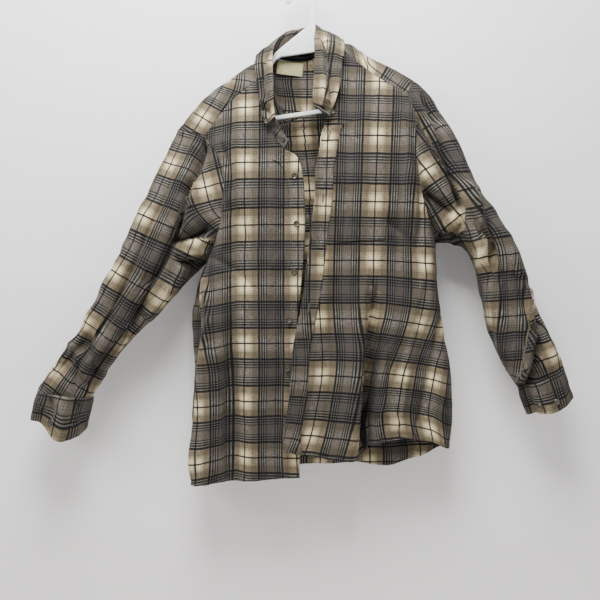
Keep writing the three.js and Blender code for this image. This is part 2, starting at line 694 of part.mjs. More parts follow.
const rightFront = new Sheet('right_front', frontGrid(RIGHT_FRONT), 1);
const leftFront = new Sheet('left_front', frontGrid(LEFT_FRONT), -1);
const back = new Sheet('back', backGrid(rightFront.grid, leftFront.grid), 1);
const profiles = yokeLines(back.grid, rightFront.grid, leftFront.grid);
const yoke = new Sheet('yoke', yokeGrid(profiles), 1);
const sideOf = (sheet, column) => sheet.grid.map(row => row[column]);
const rightHole = armhole(yoke.grid[0], sideOf(rightFront, FRONT_COLUMNS), sideOf(back, 0));
const leftHole = armhole(yoke.grid[yoke.grid.length - 1], sideOf(leftFront, FRONT_COLUMNS),
  sideOf(back, BACK_COLUMNS));
const rightSleeve = new Sheet('right_sleeve', sleeveGrid(RIGHT_SLEEVE, rightHole), -1, true);
const leftSleeve = new Sheet('left_sleeve', sleeveGrid(LEFT_SLEEVE, leftHole), 1, true);
const rightCuff = new Sheet('right_cuff', cuffGrid(rightSleeve.grid.at(-1), CUFF_ENDS.right), -1);
const leftCuff = new Sheet('left_cuff', cuffGrid(leftSleeve.grid.at(-1), CUFF_ENDS.left), 1);

const panels = [rightFront, leftFront, back, yoke, rightSleeve, leftSleeve];
shareSeams(panels, 9);
for (const sheet of panels) {
  sheet.trim(SEAM_GAP / 2);
  addMesh(sheet.name, wallGeometry(sheet), plaidCloth);
}
for (const sheet of [rightCuff, leftCuff]) addMesh(sheet.name, wallGeometry(sheet), plaidCloth);

// A strip or patch on a front: its rows run between two levels, its columns between two distances
// in from the front edge, and it lies on the front's outer side.
function patchOnFront(name, panel, sign, patch, rows, columns) {
  const { from, to, inner, outer, lift } = patch;
  const grid = [];
  for (let j = 0; j <= rows; j++) {
    const share = j / rows;
    const line = resample(frontSection(panel, mix(from, to, share)), FINE);
    const whole = line.slice(1).reduce((sum, point, k) => sum + point.distanceTo(line[k]), 0);
    const row = [];
    for (let i = 0; i <= columns; i++) {
      const distance = mix(mix(inner[0], inner[1], share), mix(outer[0], outer[1], share), i / columns);
      const place = distance / whole * FINE;
      const k = Math.min(Math.floor(place), FINE - 1);
      row.push(line[k].clone().lerp(line[k + 1], place - k));
    }
    grid.push(row);
  }
  return new Sheet(name, grid, sign).layer(name, lift, [0, rows], [0, columns]);
}
const bands = [
  patchOnFront('button_band', RIGHT_FRONT, 1, BUTTON_BAND, BAND_ROWS, 3),
  patchOnFront('buttonhole_band', LEFT_FRONT, -1, HOLE_BAND, BAND_ROWS, 3),
  patchOnFront('chest_pocket', LEFT_FRONT, -1, POCKET, POCKET_STEPS, POCKET_STEPS),
];
for (const [side, sleeve] of [['right', rightSleeve], ['left', leftSleeve]]) {
  bands.push(sleeve.layer(`${side}_placket`, PLACKET.lift, PLACKET.rows, PLACKET.columns));
}
for (const band of bands) addMesh(band.name, wallGeometry(band), plaidCloth);

// The collar
const stand = new Sheet('collar_stand', standGrid(necklineOf(rightFront, yoke, leftFront)), 1);
const leaf = new Sheet('collar_leaf', leafGrid(COLLAR_COLUMNS), -1);
for (const sheet of [stand, leaf]) addMesh(sheet.name, wallGeometry(sheet), plaidCloth);

// A button is a disc with a dished face, turned so that its face looks along the given direction.
function buttonGeometry(size) {
  const { radius, thickness, dish } = size;
  const profile = [[0, 0], [radius * 0.94, 0], [radius, thickness * 0.8], [radius * 0.84, thickness],
    [radius * 0.62, thickness - dish], [0, thickness - dish]];
  return new THREE.LatheGeometry(profile.map(([r, h]) => new THREE.Vector2(r, h)), BUTTON_SIDES);
}

function addButton(name, size, point, facing, lift) {
  const button = addMesh(name, buttonGeometry(size), buttonPlastic);
  button.position.copy(point).addScaledVector(facing, lift);
  button.quaternion.setFromUnitVectors(vector(0, 1, 0), facing);
}

// A place on a sheet at a share of its rows and columns, and the direction that it faces.
function placeOn(sheet, rowShare, columnShare) {
  const rows = sheet.grid.length - 1;
  const columns = sheet.grid[0].length - 1;
  const j = Math.min(Math.floor(rowShare * rows), rows - 1);
  const i = Math.min(Math.floor(columnShare * columns), columns - 1);
  const blend = list => {
    const a = list[j][i].clone().lerp(list[j][i + 1], columnShare * columns - i);
    const b = list[j + 1][i].clone().lerp(list[j + 1][i + 1], columnShare * columns - i);
    return a.lerp(b, rowShare * rows - j);
  };
  return { point: blend(sheet.grid), facing: blend(sheet.normals).normalize() };
}

// The front buttons are evenly spaced down the band.
const buttonBand = bands[0];
for (let k = 0; k < FRONT_BUTTONS.count; k++) {
  const z = FRONT_BUTTONS.firstZ - k * FRONT_BUTTONS.step;
  const middle = buttonBand.grid.map(row => row[1]);
  const above = middle.findLastIndex(point => point.z > z);
  const between = (middle[above].z - z) / (middle[above].z - middle[above + 1].z);
  const share = (above + between) / (middle.length - 1);
  const { point, facing } = placeOn(buttonBand, share, FRONT_BUTTONS.across);
  addButton(`front_button_${k + 1}`, BUTTON, point, facing, WALL / 2 + SEAM_GAP);
}
const standEnd = placeOn(stand, 0.02, 0.55);
addButton('stand_button', SMALL_BUTTON, standEnd.point, standEnd.facing, WALL / 2 + SEAM_GAP);
for (const [side, share] of [['right', 0.02], ['left', 0.98]]) {
  const { point, facing } = placeOn(leaf, share, 0.86);
  addButton(`${side}_collar_button`, SMALL_BUTTON, point, facing, WALL / 2 + SEAM_GAP);
}
for (const [side, cuff] of [['right', rightCuff], ['left', leftCuff]]) {
  CUFF_BUTTONS.across.forEach((columnShare, k) => {
    const { point, facing } = placeOn(cuff, CUFF_BUTTONS.down, columnShare);
    addButton(`${side}_cuff_button_${k + 1}`, BUTTON, point, facing, WALL / 2 + SEAM_GAP);
  });
}

// The neck label lies on the inner side of the yoke, just under the neckline.
function labelGrid(lines) {
  const grid = [];
  for (let i = 0; i <= 4; i++) {
    const place = SHOULDER_COLUMNS + NECK_COLUMNS * mix(LABEL.from, LABEL.to, i / 4);
    const line = lines[Math.floor(place)].map((point, k) =>
      point.clone().lerp(lines[Math.floor(place) + 1][k], place % 1)).reverse();
    const whole = line.slice(1).reduce((sum, point, k) => sum + point.distanceTo(line[k]), 0);
    const even = resample(line, FINE);
    grid.push([0, 0.5, 1].map(share =>
      even[Math.round((LABEL.under + LABEL.height * share) / whole * FINE)].clone()));
  }
  return grid;
}
const label = new Sheet('neck_label', labelGrid(profiles), 1).layer('neck_label', LAYER, [0, 4], [0, 2]);
addMesh(label.name, wallGeometry(label, LABEL.thickness), tagCloth);

// The hanger: one moulded plate. Its arms' upper edges lie just under the yoke that they carry.
function underYoke(geometry, x) {
  const farthest = 25;
  const nearby = 7;
  const steps = 8;
  const { position } = geometry.attributes;
  const index = geometry.index.array;
  const corners = [vector(0, 0, 0), vector(0, 0, 0), vector(0, 0, 0)];
  let low = Infinity;
  for (let k = 0; k < index.length; k += 3) {
    corners.forEach((corner, n) => corner.fromBufferAttribute(position, index[k + n]));
    if (corners.every(corner => Math.abs(corner.x - x) > farthest)) continue;
    for (let a = 0; a <= steps; a++) {
      for (let b = 0; b <= steps - a; b++) {
        const point = corners[0].clone().multiplyScalar(a / steps).addScaledVector(corners[1], b / steps)
          .addScaledVector(corners[2], (steps - a - b) / steps);
        const near = Math.abs(point.y) < HANGER.thickness / 2 + SEAM_GAP && Math.abs(point.x - x) < nearby;
        if (near) low = Math.min(low, point.z);
      }
    }
  }
  return low - SEAM_GAP;
}

function hangerGeometry(yokeWall) {
  const { hookInner, hookOuter, tipDrop, tipRound, armDepth, thickness, bevel, apexLeft, apexRight } = HANGER;
  const rightTop = [...HANGER.rightNeck, ...HANGER.carriesRight.map(x => [x, underYoke(yokeWall, x)])];
  const leftTop = [...HANGER.leftNeck, ...HANGER.carriesLeft.map(x => [x, underYoke(yokeWall, x)])];
  const outline = new THREE.Shape();
  const tipEnd = -hookInner - tipDrop;
  outline.moveTo(apexRight[0], apexRight[1]);
  outline.lineTo(hookOuter, -hookInner);
  outline.absarc(0, -hookInner, hookOuter, 0, Math.PI, false);
  outline.lineTo(-hookOuter, tipEnd + tipRound);
  outline.quadraticCurveTo(-(hookInner + hookOuter) / 2, tipEnd - tipRound, -hookInner, tipEnd + tipRound);
  outline.lineTo(-hookInner, -hookInner);
  outline.absarc(0, -hookInner, hookInner, Math.PI, 0, true);
  outline.lineTo(apexLeft[0] + 2, apexLeft[1] + 22);
  outline.lineTo(apexLeft[0], apexLeft[1]);
  for (const [x, z] of leftTop) outline.lineTo(x, z);
  for (const [x, z] of HANGER.leftEnd) outline.lineTo(x, z);
  for (const [x, z] of HANGER.rightEnd) outline.lineTo(x, z);
  outline.lineTo(...rightTop.at(-1));
  for (const [x, z] of rightTop.slice(0, -1).reverse()) outline.lineTo(x, z);
  outline.closePath();
  const gap = new THREE.Path();
  gap.moveTo(-50, -164);
  for (const [x, z] of leftTop.slice(2)) gap.lineTo(x, z - armDepth);
  for (const [x, z] of HANGER.gapLeft) gap.lineTo(x, z);
  for (const [x, z] of HANGER.gapRight) gap.lineTo(x, z);
  for (const [x, z] of rightTop.slice(2, -1).reverse()) gap.lineTo(x, z - armDepth);
  gap.quadraticCurveTo(46, -166, 30, -148);
  gap.lineTo(-40, -158);
  gap.closePath();
  outline.holes.push(gap);
  const geometry = new THREE.ExtrudeGeometry(outline, {
    depth: thickness - 2 * bevel, bevelEnabled: true, bevelThickness: bevel, bevelSize: bevel,
    bevelOffset: -bevel, bevelSegments: 1, curveSegments: 6,
  });
  geometry.rotateX(Math.PI / 2);
  geometry.translate(0, thickness / 2 - bevel, 0);
  return geometry;
}
addMesh('hanger', hangerGeometry(shirt.getObjectByName('yoke').geometry), hangerPlastic);

export default shirt;
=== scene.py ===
# %% [markdown]
# A flannel shirt hangs open on a moulded plastic hanger, in front of a pale wall. The first cell
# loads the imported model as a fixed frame: its solids give every piece its size and its place.

# %% Load the frame
import math
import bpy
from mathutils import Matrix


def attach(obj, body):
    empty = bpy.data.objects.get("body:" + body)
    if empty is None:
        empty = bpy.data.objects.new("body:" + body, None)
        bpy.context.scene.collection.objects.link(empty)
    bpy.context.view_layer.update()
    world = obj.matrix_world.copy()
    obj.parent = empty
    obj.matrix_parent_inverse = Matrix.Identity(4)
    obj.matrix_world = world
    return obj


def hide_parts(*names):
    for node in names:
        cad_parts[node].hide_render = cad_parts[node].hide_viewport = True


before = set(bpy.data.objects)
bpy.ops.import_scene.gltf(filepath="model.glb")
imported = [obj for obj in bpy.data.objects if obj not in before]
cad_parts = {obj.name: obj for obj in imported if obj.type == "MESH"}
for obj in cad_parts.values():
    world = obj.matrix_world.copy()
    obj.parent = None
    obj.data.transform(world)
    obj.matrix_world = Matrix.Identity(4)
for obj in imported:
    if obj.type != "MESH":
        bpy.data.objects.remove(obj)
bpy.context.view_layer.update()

from types import SimpleNamespace

import bmesh
import bpy
import numpy as np
from mathutils import Matrix, Vector

print("nodes in the frame:", len(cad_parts))

# %% [markdown]
# The camera stands where the photographer stood: level with the middle of the shirt and 1.4 m in
# front of it. The wall and floor are the stage, not part of the object. A big soft light from above
# and in front leaves the gentle shadows that the folds have.

# %% Camera, stage and lights
MM = 0.001
CAMERA_PLACE = Vector((-3.8, -1400, -619.4)) * MM
VIEW_WIDTH = 1140 * MM

camera = bpy.data.objects.new("camera", bpy.data.cameras.new("camera"))
camera.location = CAMERA_PLACE
camera.rotation_euler = (math.radians(90), 0, 0)
camera.data.angle = 2 * math.atan(VIEW_WIDTH / 2 / -CAMERA_PLACE.y)
bpy.context.collection.objects.link(camera)
bpy.context.scene.camera = camera


def new_object(name, mesh):
    """Links a mesh as an object of its own, at the origin."""
    thing = bpy.data.objects.new(name, mesh)
    bpy.context.collection.objects.link(thing)
    return thing


def backdrop(name, size, place, turn):
    """A plain plane that the object stands in front of or over."""
    bm = bmesh.new()
    bmesh.ops.create_grid(bm, x_segments=1, y_segments=1, size=size)
    bmesh.ops.rotate(bm, verts=bm.verts, matrix=Matrix.Rotation(turn, 3, "X"))
    bmesh.ops.translate(bm, verts=bm.verts, vec=place)
    mesh = bpy.data.meshes.new(name)
    bm.to_mesh(mesh)
    bm.free()
    plane = new_object(name, mesh)
    return plane


WALL_Y = 62 * MM
FLOOR_Z = -1.62
wall = backdrop("wall", 4, (0, WALL_Y, 0), math.radians(90))
floor = backdrop("floor", 4, (0, WALL_Y - 4, FLOOR_Z), 0)


def area_light(name, place, target, size, power, colour=(1, 1, 1)):
    """A soft square light that looks at a target."""
    data = bpy.data.lights.new(name, "AREA")
    data.size = size
    data.energy = power
    data.color = colour
    light = bpy.data.objects.new(name, data)
    light.location = place
    light.rotation_euler = (Vector(target) - Vector(place)).to_track_quat("-Z", "Y").to_euler()
    bpy.context.collection.objects.link(light)
    return light


area_light("ceiling", (-0.15, -0.75, 0.75), (0, 0, -0.5), 0.8, 60)
area_light("window", (-1.6, -1.2, 0.2), (0, 0, -0.5), 0.9, 20)
area_light("fill", (1.5, -1.8, -0.3), (0.1, 0, -0.6), 1.6, 10)
area_light("behind", (0.5, 2.4, 0.4), (0, 0, -0.5), 1.8, 45)
world = bpy.data.worlds.new("soft_room")
world.use_nodes = True
world.node_tree.nodes["Background"].inputs["Color"].default_value = (0.93, 0.95, 1.0, 1)
world.node_tree.nodes["Background"].inputs["Strength"].default_value = 0.14
bpy.context.scene.world = world
print("camera angle", round(math.degrees(camera.data.angle), 1))

# %% [markdown]
# Cloth is described by short tables, as a pattern maker's notes would: a row for each level of a
# panel. Between its rows a table is read as one smooth curve, and a line of points can be evened out
# so that the mesh has quads of equal size. Lengths in the tables are millimetres.

# %% Reading tables and evening lines
FINE = 220


def table(columns, rows):
    """A table with named columns, kept as one array for each column."""
    return {name: np.array([row[i] for row in rows], float) for i, name in enumerate(columns.split())}


def length_of(rows):
    """How many rows a table has."""
    return len(next(iter(rows.values())))


def read(rows, position):
    """Every column at a place between the rows, as a smooth curve through their values."""
    last = length_of(rows) - 1
    start = int(np.clip(math.floor(position), 0, last - 1))
    t = position - start
    found = {}
    for name, values in rows.items():
        before, first, second, after = (values[int(np.clip(start + k, 0, last))] for k in (-1, 0, 1, 2))
        leave = (second - before) / 2
        arrive = (after - first) / 2
        step = second - first
        square = 3 * step - 2 * leave - arrive
        cube = leave + arrive - 2 * step
        found[name] = first + t * (leave + t * (square + t * cube))
    return SimpleNamespace(**found)


def smooth(value):
    """0 below 0, 1 above 1, and an S-curve between."""
    share = np.clip(value, 0, 1)
    return share * share * (3 - 2 * share)


def mix(a, b, share):
    return a + (b - a) * share


def along(points):
    """The distance from the first point to each point of a line."""
    steps = np.linalg.norm(np.diff(points[:, :3], axis=0), axis=1)
    return np.concatenate([[0], np.cumsum(steps)])


def even(points, count):
    """count + 1 points at equal distances along a line. Further columns are carried along."""
    places = along(points)
    wanted = np.linspace(0, places[-1], count + 1)
    return np.stack([np.interp(wanted, places, column) for column in points.T], axis=1)


# %% [markdown]
# Seven tables hold the whole drape. A front's row gives its front edge and its side, how deep the
# cloth lies there and how far it turns back at the side. The back, yoke, collar and sleeves have
# tables of the same kind. A fold is a soft ridge, or a trough, along a slanting line.

# %% The panels' tables
FRONT_LEVELS = "edge_x edge_z edge_y side_x side_z side_y corner_y turn arch"
RIGHT_FRONT = table(FRONT_LEVELS, [
    [-86, -212, -24, -181, -313, -22, -25, 10, 12],
    [-74, -254, -34, -163, -341, -32, -36, 22, 10],
    [-63, -296, -44, -148, -372, -38, -44, 26, 6],
    [-39, -337, -50, -144, -407, -42, -49, 28, 3],
    [-9, -358, -52, -148, -444, -42, -50, 30, 0],
    [2, -397, -54, -152, -481, -38, -48, 30, 0],
    [5, -446, -54, -164, -517, -26, -44, 30, 0],
    [5, -501, -54, -180, -548, -6, -42, 26, 0],
    [2, -555, -54, -188, -591, -4, -44, 28, 0],
    [-4, -619, -54, -190, -657, -2, -46, 28, 0],
    [-11, -702, -52, -192, -728, -2, -48, 28, 0],
    [-9, -775, -50, -197, -800, -2, -46, 28, 0],
    [-7, -848, -50, -203, -876, -2, -44, 26, 0],
    [-5, -903, -50, -209, -931, -2, -42, 24, 0],
    [-4, -944, -50, -207, -966, -2, -40, 22, 0],
])
LEFT_FRONT = table(FRONT_LEVELS, [
    [78, -152, -22, 198, -233, -20, -22, 8, -8],
    [67, -196, -32, 207, -262, -28, -33, 22, -4],
    [57, -242, -42, 211, -293, -34, -41, 26, 0],
    [48, -280, -50, 211, -324, -38, -46, 28, 0],
    [36, -313, -54, 210, -350, -40, -48, 28, 0],
    [31, -346, -58, 214, -376, -40, -50, 28, 0],
    [24, -387, -62, 218, -405, -38, -50, 28, 0],
    [23, -427, -64, 226, -438, -34, -48, 28, 0],
    [16, -483, -64, 239, -477, -22, -44, 28, 0],
    [11, -529, -64, 250, -511, -4, -40, 26, 0],
    [0, -619, -64, 254, -585, -2, -38, 26, 0],
    [-17, -710, -64, 264, -669, -2, -36, 26, 0],
    [-24, -801, -64, 281, -756, -2, -34, 26, 0],
    [-35, -865, -62, 283, -838, -2, -32, 24, 0],
    [-31, -896, -62, 277, -898, -2, -30, 22, 0],
])
BACK = table("left_x left_z left_y right_x right_z right_y back_y turn wing", [
    [-167, -331, 18, 192, -235, 18, 21, 6, 0],
    [-156, -390, 21, 203, -300, 20, 23, 8, 0],
    [-154, -448, 20, 215, -370, 20, 25, 10, 0],
    [-164, -506, 10, 234, -446, 14, 27, 16, 0],
    [-180, -548, -6, 250, -511, -4, 27, 24, 4],
    [-190, -657, -2, 258, -620, -2, 28, 28, 24],
    [-195, -765, -2, 272, -720, -2, 28, 28, 18],
    [-203, -876, -2, 283, -820, -2, 27, 26, 10],
    [-207, -966, -2, 277, -898, -2, 26, 22, 2],
])
YOKE = table("ridge_x ridge_z ridge_y front_x front_z front_y saddle", [
    [-236, -298, 0, -181, -313, -22, 5],
    [-186, -238, 0, -153, -279, -24, 4],
    [-137, -201, 0, -118, -238, -25, 4],
    [-84, -169, 0, -86, -212, -24, 3],
    [-58, -186, 15, -62, -163, 6, 0],
    [8, -211, 18, 8, -162, 15, 0],
    [62, -177, 14, 60, -139, 4, 0],
    [82, -133, 0, 78, -152, -22, 3],
    [129, -160, 0, 130, -197, -25, 4],
    [171, -180, 0, 167, -216, -24, 4],
    [211, -203, 0, 198, -233, -20, 5],
])
STAND = table("base_x base_z base_y top_x top_z top_y", [
    [-33, -343, -54, -24, -329, -56],
    [-55, -303, -49, -47, -291, -53],
    [-69, -262, -41, -53, -252, -49],
    [-80, -225, -31, -53, -214, -43],
    [-84, -190, -14, -55, -174, -30],
    [-76, -168, 0, -50, -138, -8],
    [-58, -158, 9, -30, -110, 6],
    [-24, -159, 15, -4, -101, 14],
    [12, -157, 15, 13, -97, 14],
    [38, -148, 11, 27, -96, 8],
    [56, -138, 2, 31, -108, -8],
    [69, -143, -12, 30, -139, -28],
    [69, -176, -27, 33, -176, -43],
    [61, -218, -39, 38, -218, -52],
    [53, -255, -48, 41, -253, -57],
    [47, -284, -54, 37, -277, -59],
])
LEAF = table("roll_x roll_z roll_y edge_x edge_z edge_y", [
    [-49, -286, -57, -62, -303, -56],
    [-52, -256, -55, -74, -276, -54],
    [-52, -219, -49, -81, -230, -45],
    [-54, -177, -37, -87, -184, -33],
    [-50, -140, -13, -82, -156, -14],
    [-30, -109, 7, -60, -140, 18],
    [-5, -98, 17, -16, -150, 27],
    [12, -94, 17, 14, -149, 28],
    [24, -93, 10, 48, -134, 21],
    [25, -105, -8, 76, -123, 2],
    [22, -138, -31, 79, -149, -27],
    [23, -176, -47, 74, -184, -36],
    [21, -216, -57, 70, -220, -48],
    [19, -250, -62, 60, -258, -57],
    [22, -271, -64, 48, -290, -62],
])
SLEEVE_LEVELS = "outer_x outer_z inner_x inner_z middle_y depth bow"
RIGHT_SLEEVE = table(SLEEVE_LEVELS, [
    [-236, -298, -178, -547, 0, 30, 30],
    [-263, -354, -196, -566, -3, 38, 18],
    [-290, -412, -218, -583, -5, 42, 8],
    [-318, -478, -244, -614, -6, 44, 2],
    [-350, -546, -276, -648, -8, 44, 0],
    [-382, -608, -308, -680, -8, 43, 0],
    [-414, -663, -342, -714, -8, 42, 0],
    [-446, -714, -367, -753, -8, 40, 0],
    [-482, -763, -388, -784, -8, 36, 0],
    [-499, -791, -396, -800, -8, 30, 0],
])
LEFT_SLEEVE = table(SLEEVE_LEVELS, [
    [211, -203, 250, -511, 0, 28, -14],
    [245, -238, 264, -511, -2, 36, -8],
    [275, -291, 284, -511, -4, 42, -3],
    [301, -350, 304, -518, -5, 46, 0],
    [331, -408, 321, -540, -6, 49, 0],
    [365, -458, 332, -572, -8, 51, 0],
    [399, -517, 342, -614, -8, 52, 0],
    [425, -585, 349, -657, -8, 52, 0],
    [448, -653, 364, -706, -8, 50, 0],
    [474, -706, 387, -750, -8, 44, 0],
    [492, -748, 411, -783, -8, 34, 0],
])

FOLD_COLUMNS = "top_x top_z bottom_x bottom_z height half fade"
RIGHT_FOLDS = table(FOLD_COLUMNS, [
    [-130, -640, -124, -960, -12, 14, 120],
    [-158, -420, -165, -900, 6, 14, 120],
    [-84, -300, -62, -700, 6, 24, 120],
    [-98, -700, -88, -960, 7, 16, 120],
    [-40, -520, -52, -940, -5, 18, 160],
])
LEFT_FOLDS = table(FOLD_COLUMNS, [
    [138, -600, 112, -920, -32, 13, 170],
    [112, -560, 86, -920, 9, 15, 160],
    [170, -520, 158, -880, 6, 18, 160],
    [216, -560, 226, -880, -6, 13, 140],
    [60, -540, 40, -900, -5, 20, 160],
    [190, -300, 176, -560, -6, 12, 110],
])
BACK_FOLDS = table(FOLD_COLUMNS, [
    [-110, -420, -128, -950, 8, 18, 160],
    [-72, -520, -76, -950, -6, 16, 160],
    [-20, -330, -30, -940, 7, 20, 200],
    [46, -520, 40, -940, -6, 17, 160],
    [92, -330, 104, -930, 8, 19, 180],
    [150, -440, 168, -920, -6, 16, 160],
    [204, -520, 218, -900, 6, 15, 140],
])
RIGHT_HEM = table("x rise", [[-207, 0], [-150, 4], [-90, 2], [-40, 0], [0, 0]])
LEFT_HEM = table("x rise", [
    [-31, 0], [10, -8], [60, -16], [104, -18], [126, 10], [184, 21], [236, 16], [277, 0],
])
BACK_HEM = table("x rise", [[-207, 0], [0, 0], [87, -9], [167, -24], [222, -18], [277, 0]])
RIGHT_SLEEVE_FOLDS = table("around start end depth half", [
    [0.27, 0.25, 0.72, -9, 0.035],
    [0.17, 0.45, 0.95, -7, 0.03],
    [0.38, 0.55, 0.98, -7, 0.035],
    [0.70, 0.2, 0.9, -7, 0.04],
])
LEFT_SLEEVE_FOLDS = table("around start end depth half", [
    [0.30, 0.3, 0.85, -9, 0.035],
    [0.20, 0.5, 0.97, -7, 0.03],
    [0.42, 0.15, 0.6, -8, 0.035],
    [0.72, 0.2, 0.9, -7, 0.04],
])

# %% [markdown]
# Check cloth shows its own grain, so every point also carries its place in the flat cloth: how far
# it is across the warp and down the weft.

# %% Where the check lies on the fronts
SETT = 106
CREAM_LINE = {
    "right": table("z x", [[-1000, -105], [-200, -105]]),
    "left": table("z x", [
        [-970, 90], [-843, 105], [-698, 123], [-636, 129], [-510, 131], [-297, 139], [-100, 150],
    ]),
}
CREAM_LEVEL = {
    "right": [-158, -262, -367, -482, -594, -699, -805, -909, -1014],
    "left": [-106, -212, -318, -440, -547, -654, -757, -861, -965],
}
# How steeply the weft falls or climbs past a place on each front
SLANT = {"right": 0.198, "left": 0.16}


def cloth_down(side, x, z):
    """How far down the weft a place on a front is, in setts."""
    levels = np.array(CREAM_LEVEL[side])[::-1]
    setts = np.arange(len(levels))[::-1]
    if side == "right":
        level = z + SLANT[side] * np.clip(-120 - x, 0, 90)
    else:
        level = z + SLANT[side] * np.clip(x - 150, 0, 140) * smooth((-450 - z) / 250)
    return np.interp(level, levels, setts) * SETT


SIDE_SEAM = table("z x", [[-640, 262], [-667, 249], [-737, 231], [-821, 216], [-900, 204]])
SEAM_JUMP = 38


def cloth_across(side, points):
    """How far across the warp each point of a row is, from the panel's cream line."""
    flat = np.linalg.norm(np.diff(points[:, :2], axis=0), axis=1)
    distance = np.concatenate([[0], np.cumsum(flat)])
    line_x = np.interp(points[:, 2].mean(), CREAM_LINE[side]["z"], CREAM_LINE[side]["x"])
    outward = np.sign(points[-1, 0] - points[0, 0])
    order = np.argsort(points[:, 0])
    at_line = np.interp(line_x, points[order, 0], distance[order])
    across = outward * (distance - at_line) * SETT / 99
    if side == "left" and points[:, 2].mean() < SIDE_SEAM["z"][0]:
        seam = np.interp(-points[:, 2], -SIDE_SEAM["z"], SIDE_SEAM["x"])
        across = across + SEAM_JUMP * (points[:, 0] > seam)
    return across


# %% [markdown]
# A front is drawn row by row. Most of the row is the flat panel, and the last part turns back round
# the side of the body as a quarter of an ellipse. The folds are added to its depth.

# %% Draping the fronts
TURN_SHARE = {"front": 0.14, "back": 0.1}


def fold_height(folds, x, z):
    """How far the folds push the cloth out at a place."""
    total = np.zeros_like(x)
    for i in range(length_of(folds)):
        row = (folds[name][i] for name in FOLD_COLUMNS.split())
        top_x, top_z, bottom_x, bottom_z, height, half, fade = row
        down = (top_z - z) / (top_z - bottom_z)
        length = top_z - bottom_z
        centre = mix(top_x, bottom_x, down)
        ends = smooth(down * length / fade) * smooth((1.25 - down) * length / fade)
        total += height * ends * np.exp(-(((x - centre) / half) ** 2))
    return total


def hem_rise(hem, x):
    """A table of x and rise, read in smooth steps."""
    place = np.clip(x, hem["x"][0], hem["x"][-1])
    index = np.clip(np.searchsorted(hem["x"], place, side="left"), 1, length_of(hem) - 1)
    share = (place - hem["x"][index - 1]) / (hem["x"][index] - hem["x"][index - 1])
    return mix(hem["rise"][index - 1], hem["rise"][index], smooth(share))


def front_section(side, position):
    """One row of a front: points from its front edge to its side, with their place in the cloth."""
    panel, folds, hem = FRONTS[side]
    row = read(panel, position)
    last = length_of(panel) - 1
    outward = np.sign(row.side_x - row.edge_x)
    corner_x = row.side_x - outward * row.turn
    flat_share = 1 - TURN_SHARE["front"]
    t = np.linspace(0, 1, FINE + 1)
    flat = np.clip(t / flat_share, 0, 1)
    angle = np.clip((t - flat_share) / (1 - flat_share), 0, 1) * math.pi / 2
    x = mix(row.edge_x, corner_x, flat) + (row.side_x - corner_x) * np.sin(angle)
    share = (x - row.edge_x) / (row.side_x - row.edge_x)
    z = mix(row.edge_z, row.side_z, share) + row.arch * np.sin(math.pi * share)
    cloth_v = cloth_down(side, x, z)
    z = z + hem_rise(hem, x) * smooth((position - last + 3) / 3)
    depth = mix(row.edge_y, row.corner_y, flat) + (row.side_y - row.corner_y) * (1 - np.cos(angle))
    y = depth - fold_height(folds, x, z) * np.cos(angle)
    points = np.stack([x, y, z], axis=1)
    return np.column_stack([points, cloth_across(side, points), cloth_v])


FRONTS = {
    "right": (RIGHT_FRONT, RIGHT_FOLDS, RIGHT_HEM),
    "left": (LEFT_FRONT, LEFT_FOLDS, LEFT_HEM),
}
ARMPIT = {"right": 7, "left": 9, "back": 4}
ROWS_TO_ARMPIT = 62
ROWS_TO_HEM = 118
FRONT_COLUMNS = 96
BACK_COLUMNS = 128
SHOULDER_COLUMNS = 48
NECK_COLUMNS = 48
PROFILE_STEPS = 28


def levels(armpit, last):
    """The rows of a panel's grid, so that the armpit falls on the same row of every panel."""
    above = [armpit * j / ROWS_TO_ARMPIT for j in range(ROWS_TO_ARMPIT)]
    below = [mix(armpit, last, j / ROWS_TO_HEM) for j in range(ROWS_TO_HEM + 1)]
    return above + below


def front_levels(side):
    return levels(ARMPIT[side], length_of(FRONTS[side][0]) - 1)


def front_grid(side):
    return np.array([even(front_section(side, s), FRONT_COLUMNS) for s in front_levels(side)])


# %% [markdown]
# Worn cloth never hangs smooth. Creases are listed where the shirt has them: each is a line on
# the front or back of a piece, with a height to each side of the cloth and a width to its left and
# right, so that one flank can be steeper. Between them the cloth gets small seeded ripples.

# %% Creases and ripples
CREASE_COLUMNS = "x1 z1 x2 z2 bow height left right fade"


def fade_to_seams(grid, seams, reach=14):
    """1 on the cloth and 0 at its seams, so that pieces still meet there."""
    points = grid[..., :3]
    across = np.linalg.norm(np.diff(points, axis=1), axis=2)
    from_left = np.pad(np.cumsum(across, axis=1), ((0, 0), (1, 0)))
    down = np.linalg.norm(np.diff(points, axis=0), axis=2)
    from_top = np.pad(np.cumsum(down, axis=0), ((1, 0), (0, 0)))
    distances = {
        "left": from_left, "right": from_left[:, -1:] - from_left,
        "top": from_top, "bottom": from_top[-1:] - from_top,
    }
    fade = np.ones(grid.shape[:2])
    for seam in seams.split():
        fade *= smooth(distances[seam] / reach)
    return fade


def normals_of(grid, sign):
    """The direction that the cloth's outer side faces, at each point of a grid."""
    points = grid[..., :3]
    right = np.gradient(points, axis=1)
    down = np.gradient(points, axis=0)
    normal = np.cross(right, down) * sign
    return normal / np.maximum(np.linalg.norm(normal, axis=2), 1e-9)[..., None]


